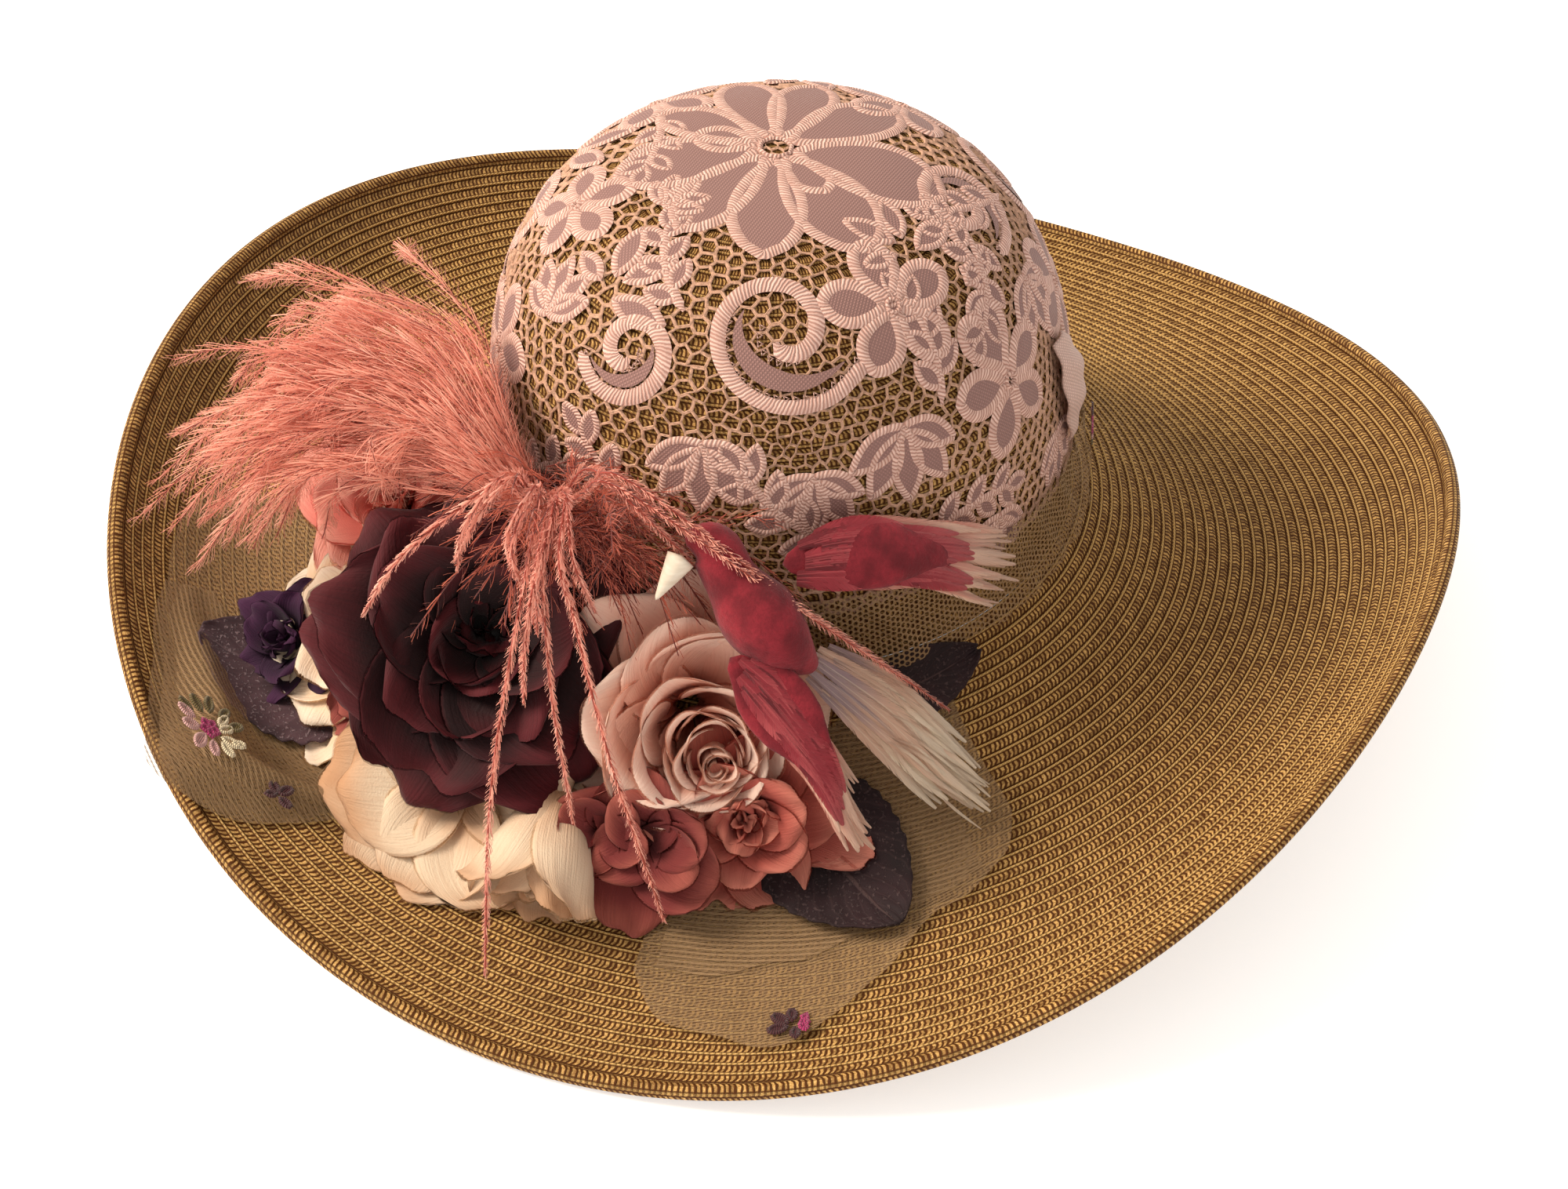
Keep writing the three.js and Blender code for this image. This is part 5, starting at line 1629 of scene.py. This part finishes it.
DROOPS = (
    ((-37, -124, 74), (-21, -209, -37), 2.5, 1), ((-35, -126, 72), (-10, -165, -10), 2.5, 1),
    ((-30, -127, 71), (24, -179, -32), 2.5, 1), ((-52, -118, 74), (-89, -140, 26), 2.5, 1),
    ((-38, -122, 77), (-40, -133, 54), 3, 2), ((-28, -121, 77), (-18, -136, 46), 4, 2),
    ((-34, -123, 76), (-29, -141, 38), 3.5, 3), ((-32, -124, 76), (-27, -152, 22), 3, 2),
    ((-14, -118, 84), (74, -97, 16), 2.5, 1), ((-12, -116, 86), (86, -91, 3), 2.5, 1),
    ((-48, -118, 78), (-60, -131, 48), 3.5, 2), ((-24, -112, 80), (6, -112, 62), 4, 1),
)
FAN_BOW = (-6, -3, 13)
DROOP_BOW = (0, -7, 7)
DOWN_HERLS = 150
# Barbs, in metres, and the half turn through which they stand
FAN_BARBS = {"Spacing": 0.00044, "Barb": 0.0125, "Width": 0.00032, "Quill": 0.0002, "Fluff": 3.1}
DROOP_BARBS = {"Spacing": 0.00018, "Barb": 0.0052, "Width": 0.0005, "Quill": 0.0005, "Fluff": 3.1}
DOWN_BARBS = {"Spacing": 0.0009, "Barb": 0.009, "Width": 0.0004, "Quill": 0.0002, "Fluff": 3.1}
# Room between the herls and the brim
HERL_CLEAR = 4.5


def herls(locks, jitter, bow, count, shortest, chance):
    """Paths of single herls that follow their locks from the root."""
    paths = []
    for via, end, spread, each in locks:
        for _ in range(each):
            wander = np.clip(chance.normal(size=(4, 3)), -1.6, 1.6) * jitter
            root = PLUME_ROOT + wander[0] * 1.5
            via_point = np.array(via) + wander[1] * spread * 0.7
            stop = np.array(end) + wander[2] * spread * 0.8
            stop = via_point + (stop - via_point) * chance.uniform(shortest, 1.0)
            rise = (root + via_point) / 2 + (0, -2, 6)
            fall = via_point + (stop - via_point) * 0.55 + bow + wander[3] * spread * 0.3
            path = smooth_path([root, rise, via_point, fall, stop], count)
            curl = np.linspace(0, 1, count)[:, None] ** 2
            swirl = chance.uniform(0, 6.28)
            turns = np.linspace(0, chance.uniform(2, 5), count)[:, None] + swirl
            sway = np.concatenate([np.cos(turns), np.sin(turns), np.sin(turns * 0.7)], 1)
            paths.append(over_brim(path + sway * curl * spread * 0.8, HERL_CLEAR))
    return paths


def plume_finish(name, quill, deep, bright):
    """Soft dyed feather, with a dark quill."""
    finish = Finish(name, roughness=0.85, sheen=0.4)
    tint = finish.tint()
    cloudy = finish.noise(finish.place((45, 45, 45)), 1.0, 3.0)
    body = finish.mix(finish.times(tint, finish.span(cloudy, 0.3, 0.7, 0.6, 1.2)), deep, bright)
    finish.color(finish.mix(finish.span(tint, 0.02, 0.12), quill, body))
    finish.thin(0.25, bright)
    return finish.material


class HAT_OT_plume(bpy.types.Operator):
    """Makes the ostrich plume"""

    bl_idname = "hat.plume"
    bl_label = "Plume"

    def execute(self, context):
        chance = np.random.default_rng(7)
        tree = feather_tree("herls")
        coral = plume_finish("coral plume", srgb(140, 44, 34), srgb(196, 90, 72), srgb(255, 190, 166))
        pale = plume_finish("drooping plume", srgb(164, 70, 56), srgb(204, 108, 92), srgb(252, 190, 168))
        rust = plume_finish("rust plume", srgb(110, 34, 22), srgb(150, 62, 46), srgb(220, 122, 96))
        fan = herls(FAN, 1.0, FAN_BOW, 36, 0.6, chance)
        for part in range(2):
            barbs = {**FAN_BARBS, "Seed": 3 + part}
            feathered(tree, f"plume_fan_{part + 1}", fan[part::2], barbs, coral, ["plume"])
        droops = herls(DROOPS, 0.4, DROOP_BOW, 60, 0.9, chance)
        feathered(tree, "plume_droops", droops, {**DROOP_BARBS, "Seed": 5}, pale, ["plume"])
        down = []
        for _ in range(DOWN_HERLS):
            start = PLUME_ROOT + chance.normal(size=3) * (14, 6, 5) + (8, 2, 2)
            aim = unit(chance.normal(size=3) * (1.2, 0.7, 0.5) + (0.6, -0.2, 0.5))
            length = chance.uniform(14, 42)
            droop = np.array([0, -0.1, -0.55]) * length
            tip = start + aim * length + droop * 0.7
            down.append(smooth_path([start, start + aim * length * 0.5, tip], 12))
        feathered(tree, "plume_down", down, {**DOWN_BARBS, "Seed": 9}, rust, ["plume"])
        return {"FINISHED"}


# Bird

# Points on the body's middle, each with the body's radius
BIRD_SPINE = (
    (3, -111, 66, 8), (11, -109, 63, 10), (18, -112, 55, 8.5), (27, -115, 47, 11.5), (37, -116, 38, 11),
    (46, -114, 30, 7),
)
BEAK = ((4.4, -115.5, 62.4), (0.5, -127, 53.5))
# node, spine of (x, y, z, half width)
WINGS = (
    ("wing_upper", (
        (30, -102, 56, 7), (46, -92, 57, 11), (66, -75, 49, 10), (83, -57, 35, 13), (92, -46, 26, 11),
    )),
    ("wing_lower", (
        (24, -128, 40, 7), (38, -130, 30, 11), (55, -135, 15, 9), (68, -138, -4, 11), (76, -135, -16, 9),
    )),
    ("tail_feathers", ((43, -113, 33, 7), (66, -107, 12, 12), (84, -107, -2, 12), (104, -106, -15, 8))),
)
VANES = 26
COVERTS = 60
TAIL_CURLS = 20
# Steps along a wing, and the share of its width that its arm has there
ARM_PROFILE = ((0, 6, 14, 21, 26), (0.7, 1.0, 0.95, 0.6, 0.1))
ARM_FLATNESS = 0.8
ARM_STEPS = 27
WING_STEPS = 40
WING_UP = unit(np.array([-0.21, 0.66, 0.72]))
WING_OUT = unit(np.array([0.22, -0.68, 0.7]))


def loft(spine, sides, rows, blunt=0.45):
    """A closed round body along a spine of points and radii."""
    fine = smooth_path(spine, rows)
    ends = np.sin(np.linspace(0.0, math.pi, rows)) ** blunt
    ends[0] = ends[-1] = 0
    forward = unit(np.gradient(fine[:, :3], axis=0))
    right = unit(np.cross(forward, [0, 0, 1]))
    upward = np.cross(right, forward)
    turn = np.linspace(0, 2 * math.pi, sides + 1)[None, :, None]
    swell = (fine[:, 3] * ends)[:, None, None]
    aside = right[:, None] * np.cos(turn) * swell
    above = upward[:, None] * np.sin(turn) * swell
    points = fine[:, None, :3] + aside + above
    share = np.broadcast_to(np.linspace(0, 1, rows)[:, None], points.shape[:2])
    around = np.broadcast_to(turn[..., 0] / (2 * math.pi), points.shape[:2])
    return points, np.stack([around, share], -1)


def blade(patch, path, half, aside, tint, columns=5):
    """One feather vane along a path, with a shallow keel."""
    rows = len(path)
    share = np.linspace(0, 1, rows)
    forward = unit(np.gradient(path, axis=0))
    side = unit(np.cross(forward, aside))
    keel = np.cross(side, forward)
    width = half * np.sin(np.pi * np.clip(share * 0.86 + 0.1, 0, 1)) ** 0.7
    out = np.linspace(-1, 1, columns)
    points = path[:, None] + side[:, None] * (out[None, :] * width[:, None])[..., None]
    points = points - keel[:, None] * (0.25 * half * out[None, :] ** 2)[..., None]
    pattern = paired(out[None, :], share[:, None])
    patch.grid(points, pattern, tint=np.full((rows, columns), tint))


def vane_finish(name, foot, middle, tip):
    """A feather's vane: slanting barbs from its quill, split here and there."""
    finish = Finish(name, roughness=0.7, sheen=0.3)
    across, along = finish.pattern()
    slant = finish.minus(along, finish.times(finish.math("ABSOLUTE", across), 0.14))
    slanted = finish.vector(finish.times(slant, 60.0), finish.math("SIGN", across))
    barbs = finish.noise(slanted, 1.6, 2.0)
    rib = finish.span(finish.math("ABSOLUTE", across), 0.04, 0.12, 1.0, 0.0)
    place = finish.plus(along, finish.times(finish.minus(finish.tint(), 0.5), 0.5))
    low = finish.mix(finish.span(place, 0.0, 0.35), foot, middle)
    body = finish.mix(finish.span(place, 0.4, 0.9), low, tip)
    shaded = finish.mix(finish.span(barbs, 0.3, 0.6, 0.35, 0.0), body, darker(middle, 0.4))
    finish.color(finish.mix(finish.times(rib, 0.5), shaded, tip))
    finish.bump(barbs, 0.3)
    ragged = finish.times(finish.span(barbs, 0.32, 0.62, 1.0, 0.0), finish.math("ABSOLUTE", across))
    finish.holes(finish.span(ragged, 0.55, 0.7, 1.0, 0.0))
    finish.thin(0.3, tip)
    return finish.material


def down_finish(name, deep, bright):
    """Short dyed feathers, close together."""
    finish = Finish(name, roughness=0.9, sheen=0.12)
    tufts = finish.noise(finish.place((900, 900, 900)), 1.0, 4.0, 0.7)
    cloudy = finish.noise(finish.place((120, 120, 120)), 1.0, 4.0)
    patches = finish.span(cloudy, 0.3, 0.65, 0.2, 1.0)
    cover = finish.times(finish.span(tufts, 0.2, 0.7, 0.55, 1.0), patches)
    finish.color(finish.mix(cover, deep, bright))
    finish.bump(tufts, 0.35)
    return finish.material


class HAT_OT_bird(bpy.types.Operator):
    """Makes the little feathered bird"""

    bl_idname = "hat.bird"
    bl_label = "Bird"

    def execute(self, context):
        crimson = down_finish("crimson down", srgb(84, 8, 20), srgb(140, 32, 44))
        covert = vane_finish("crimson coverts", srgb(110, 14, 28), srgb(160, 44, 56), srgb(196, 84, 88))
        pink = vane_finish("pink vanes", srgb(140, 34, 46), srgb(226, 154, 138), srgb(246, 208, 184))
        pale = vane_finish("tail vanes", srgb(160, 136, 146), srgb(226, 184, 160), srgb(246, 228, 204))
        patch = Patchwork()
        points, pattern = loft(BIRD_SPINE, 28, 40)
        patch.grid(points, pattern, flip=True)
        patch.piece("bird_down", crimson, "bird", ["bird_body"])
        horn = Finish("horn", roughness=0.45)
        grain = horn.noise(horn.place((150, 150, 700)), 1.0)
        horn.color(horn.mix(grain, srgb(196, 176, 150), srgb(238, 228, 212)))
        horn.bump(grain, 0.15)
        foot, tip = (np.array(end) for end in BEAK)
        rows = np.linspace(0, 1, 12)[:, None]
        spine = np.concatenate([foot + (tip - foot) * rows, 4.4 * (1 - rows) ** 0.9 + 0.3], 1)
        patch = Patchwork()
        points, pattern = loft(spine, 20, 14, blunt=0.0)
        patch.grid(points, pattern, flip=True)
        patch.piece("bird_cone_beak", horn.material, "beak", ["bird_beak"])
        chance = np.random.default_rng(11)
        for node, rows in WINGS:
            spine = smooth_path(np.array(rows, float), WING_STEPS)
            tail = node == "tail_feathers"
            if not tail:
                arm = spine[:ARM_STEPS].copy()
                arm[:, 3] *= np.interp(np.arange(ARM_STEPS), *ARM_PROFILE)
                patch = Patchwork()
                points, pattern = loft(arm, 24, 30, blunt=0.3)
                middle = smooth_path(arm, 30)[:, None, :3]
                thin = ((points - middle) @ WING_OUT)[..., None] * WING_OUT * ARM_FLATNESS
                patch.grid(points - thin, pattern, flip=True)
                patch.piece(node + "_down", crimson, "bird", [node])
                patch = Patchwork()
                for _ in range(COVERTS):
                    start = int(chance.uniform(2, 17))
                    slot = chance.uniform(-0.85, 0.85)
                    part = spine[start:start + 13]
                    lift = WING_OUT * (part[:, 3:] * 0.2 * math.sqrt(1 - slot**2) + 0.7)
                    path = smooth_path((part[:, :3] + WING_UP * slot * part[:, 3:] * 0.9 + lift)[::3], 10)
                    blade(patch, path, chance.uniform(1.8, 3.2), WING_OUT, chance.uniform(0, 1))
                patch.piece(node + "_coverts", covert, "bird", [node], weld=False)
            patch = Patchwork()
            for place in range(VANES):
                slot = (place + 0.5) / VANES * 2 - 1
                start = int(chance.uniform(0, 8)) if tail else int(chance.uniform(5, 15))
                stop = int(WING_STEPS - chance.uniform(0, 13) * abs(slot) - 1)
                part = spine[start:stop]
                offset = WING_UP * slot * part[:, 3:] * 0.95
                offset = offset + WING_OUT * (chance.uniform(-1, 1) - 2.4 * slot**2)
                path = smooth_path((part[:, :3] + offset)[::4], 22)
                late = (np.linspace(0, 1, 22) ** 2)[:, None]
                path = path + WING_OUT * late * chance.uniform(-2, 4) + WING_UP * late * chance.uniform(-3, 3)
                blade(patch, path, chance.uniform(1.0, 2.4), WING_OUT, chance.uniform(0, 1))
            for _ in range(TAIL_CURLS if tail else 0):
                foot = spine[int(chance.uniform(14, 26)), :3] + WING_UP * chance.uniform(-9, 9)
                aim = unit(spine[38, :3] - spine[14, :3])
                long = chance.uniform(18, 34)
                hook = WING_UP * chance.uniform(-9, 9) + WING_OUT * chance.uniform(0, 5)
                tip = foot + aim * long + hook * 0.4
                path = smooth_path([foot, foot + aim * long * 0.5 + hook * 0.6, tip], 20)
                blade(patch, path, chance.uniform(0.35, 0.7), WING_OUT, 1.0, columns=3)
            material = pale if tail else pink
            patch.piece(node + "_vanes", material, "feather" if tail else "bird", [node], weld=False)
        return {"FINISHED"}


# Stage


# name, place in metres, size, power and colour
LAMPS = (
    ("key", (-2.2, -0.6, 2.1), 1.2, 130.0, (1.0, 0.9, 0.77)),
    ("side", (0.9, -1.5, 0.9), 0.8, 2.0, (1.0, 0.92, 0.82)),
    ("back", (0.4, 1.2, 0.9), 0.8, 1.0, (1.0, 0.93, 0.84)),
)
LIT_SPOT = Vector((0, 0, 0.06))
# What the camera aims at, in millimetres, before its turn round the hat
AIM = Vector((-0.62, -60.66, 0))
FLOOR_SIZE = 12
FLOOR_DROP = 0.0006
FLOOR_GLOW = 0.5
ROOM_GLOW = 0.72


class HAT_OT_stage(bpy.types.Operator):
    """Sets the floor, the light and the camera"""

    bl_idname = "hat.stage"
    bl_label = "Stage"

    def execute(self, context):
        settings = context.scene.hat_stage
        bpy.ops.mesh.primitive_plane_add(size=FLOOR_SIZE, location=(0, 0, -FLOOR_DROP))
        floor = context.object
        floor.name = "floor"
        paper = Finish("pale floor", roughness=0.9)
        paper.color((0.93, 0.93, 0.93))
        paper.shader.inputs["Emission Color"].default_value = (1.0, 1.0, 1.0, 1.0)
        paper.shader.inputs["Emission Strength"].default_value = FLOOR_GLOW
        floor.data.materials.append(paper.material)
        for lamp in LAMPS:
            self.light(*lamp)
        world = bpy.data.worlds.new("soft room")
        world.use_nodes = True
        background = world.node_tree.nodes["Background"]
        background.inputs["Color"].default_value = (1.0, 0.95, 0.89, 1.0)
        background.inputs["Strength"].default_value = ROOM_GLOW
        context.scene.world = world
        context.scene.view_settings.view_transform = "Standard"
        self.camera(context.scene, settings)
        return {"FINISHED"}

    def light(self, name, spot, size, power, color):
        """One soft lamp that looks at the hat."""
        data = bpy.data.lights.new(name, "AREA")
        data.size = size
        data.energy = power
        data.color = color
        lamp = linked(name, data)
        lamp.location = spot
        lamp.rotation_euler = (LIT_SPOT - lamp.location).to_track_quat("-Z", "Y").to_euler()

    def camera(self, scene, settings):
        """The camera that sees the hat as the photograph does."""
        azimuth, elevation, roll = settings.azimuth, settings.elevation, settings.roll
        aim = Matrix.Rotation(azimuth, 3, "Z") @ AIM + Vector(SHIFT)
        level = math.cos(elevation)
        back = Vector((math.sin(azimuth) * level, -math.cos(azimuth) * level, math.sin(elevation)))
        right = Vector((math.cos(azimuth), math.sin(azimuth), 0))
        upward = back.cross(right)
        turn = Matrix((
            right * math.cos(roll) + upward * math.sin(roll),
            upward * math.cos(roll) - right * math.sin(roll),
            back,
        )).transposed()
        data = bpy.data.cameras.new("camera")
        data.lens = settings.lens
        data.sensor_width = 36
        camera = linked("camera", data)
        camera.matrix_world = Matrix.Translation(aim * MM + back * settings.distance) @ turn.to_4x4()
        scene.camera = camera


OPERATORS = (
    HAT_OT_brim, HAT_OT_crown, HAT_OT_edge_roll, HAT_OT_lace, HAT_OT_tulle, HAT_OT_embroidery, HAT_OT_leaves,
    HAT_OT_flowers, HAT_OT_plume, HAT_OT_bird, HAT_OT_stage,
)
SETTINGS = {
    "hat_straw": StrawSettings,
    "hat_lace": LaceSettings,
    "hat_tulle": TulleSettings,
    "hat_stage": StageSettings,
}


class HAT_PT_panel(bpy.types.Panel):
    """Lists the hat's pieces"""

    bl_idname = "HAT_PT_panel"
    bl_label = "Tea Party Hat"
    bl_space_type = "VIEW_3D"
    bl_region_type = "UI"
    bl_category = "Hat"

    def draw(self, context):
        for name, group in SETTINGS.items():
            box = self.layout.box()
            for key in group.__annotations__:
                box.prop(getattr(context.scene, name), key)
        for operator in OPERATORS:
            self.layout.operator(operator.bl_idname)


CLASSES = (*SETTINGS.values(), *OPERATORS, HAT_PT_panel)


def register():
    """Adds the settings, the operators and the panel."""
    for each in CLASSES:
        bpy.utils.register_class(each)
    for name, group in SETTINGS.items():
        setattr(bpy.types.Scene, name, bpy.props.PointerProperty(type=group))


def unregister():
    """Takes them away again."""
    for name in SETTINGS:
        delattr(bpy.types.Scene, name)
    for each in reversed(CLASSES):
        bpy.utils.unregister_class(each)


def main():
    """Makes the hat."""
    register()
    for operator in OPERATORS:
        group, name = operator.bl_idname.split(".")
        getattr(getattr(bpy.ops, group), name)()


if __name__ == "__main__":
    main()
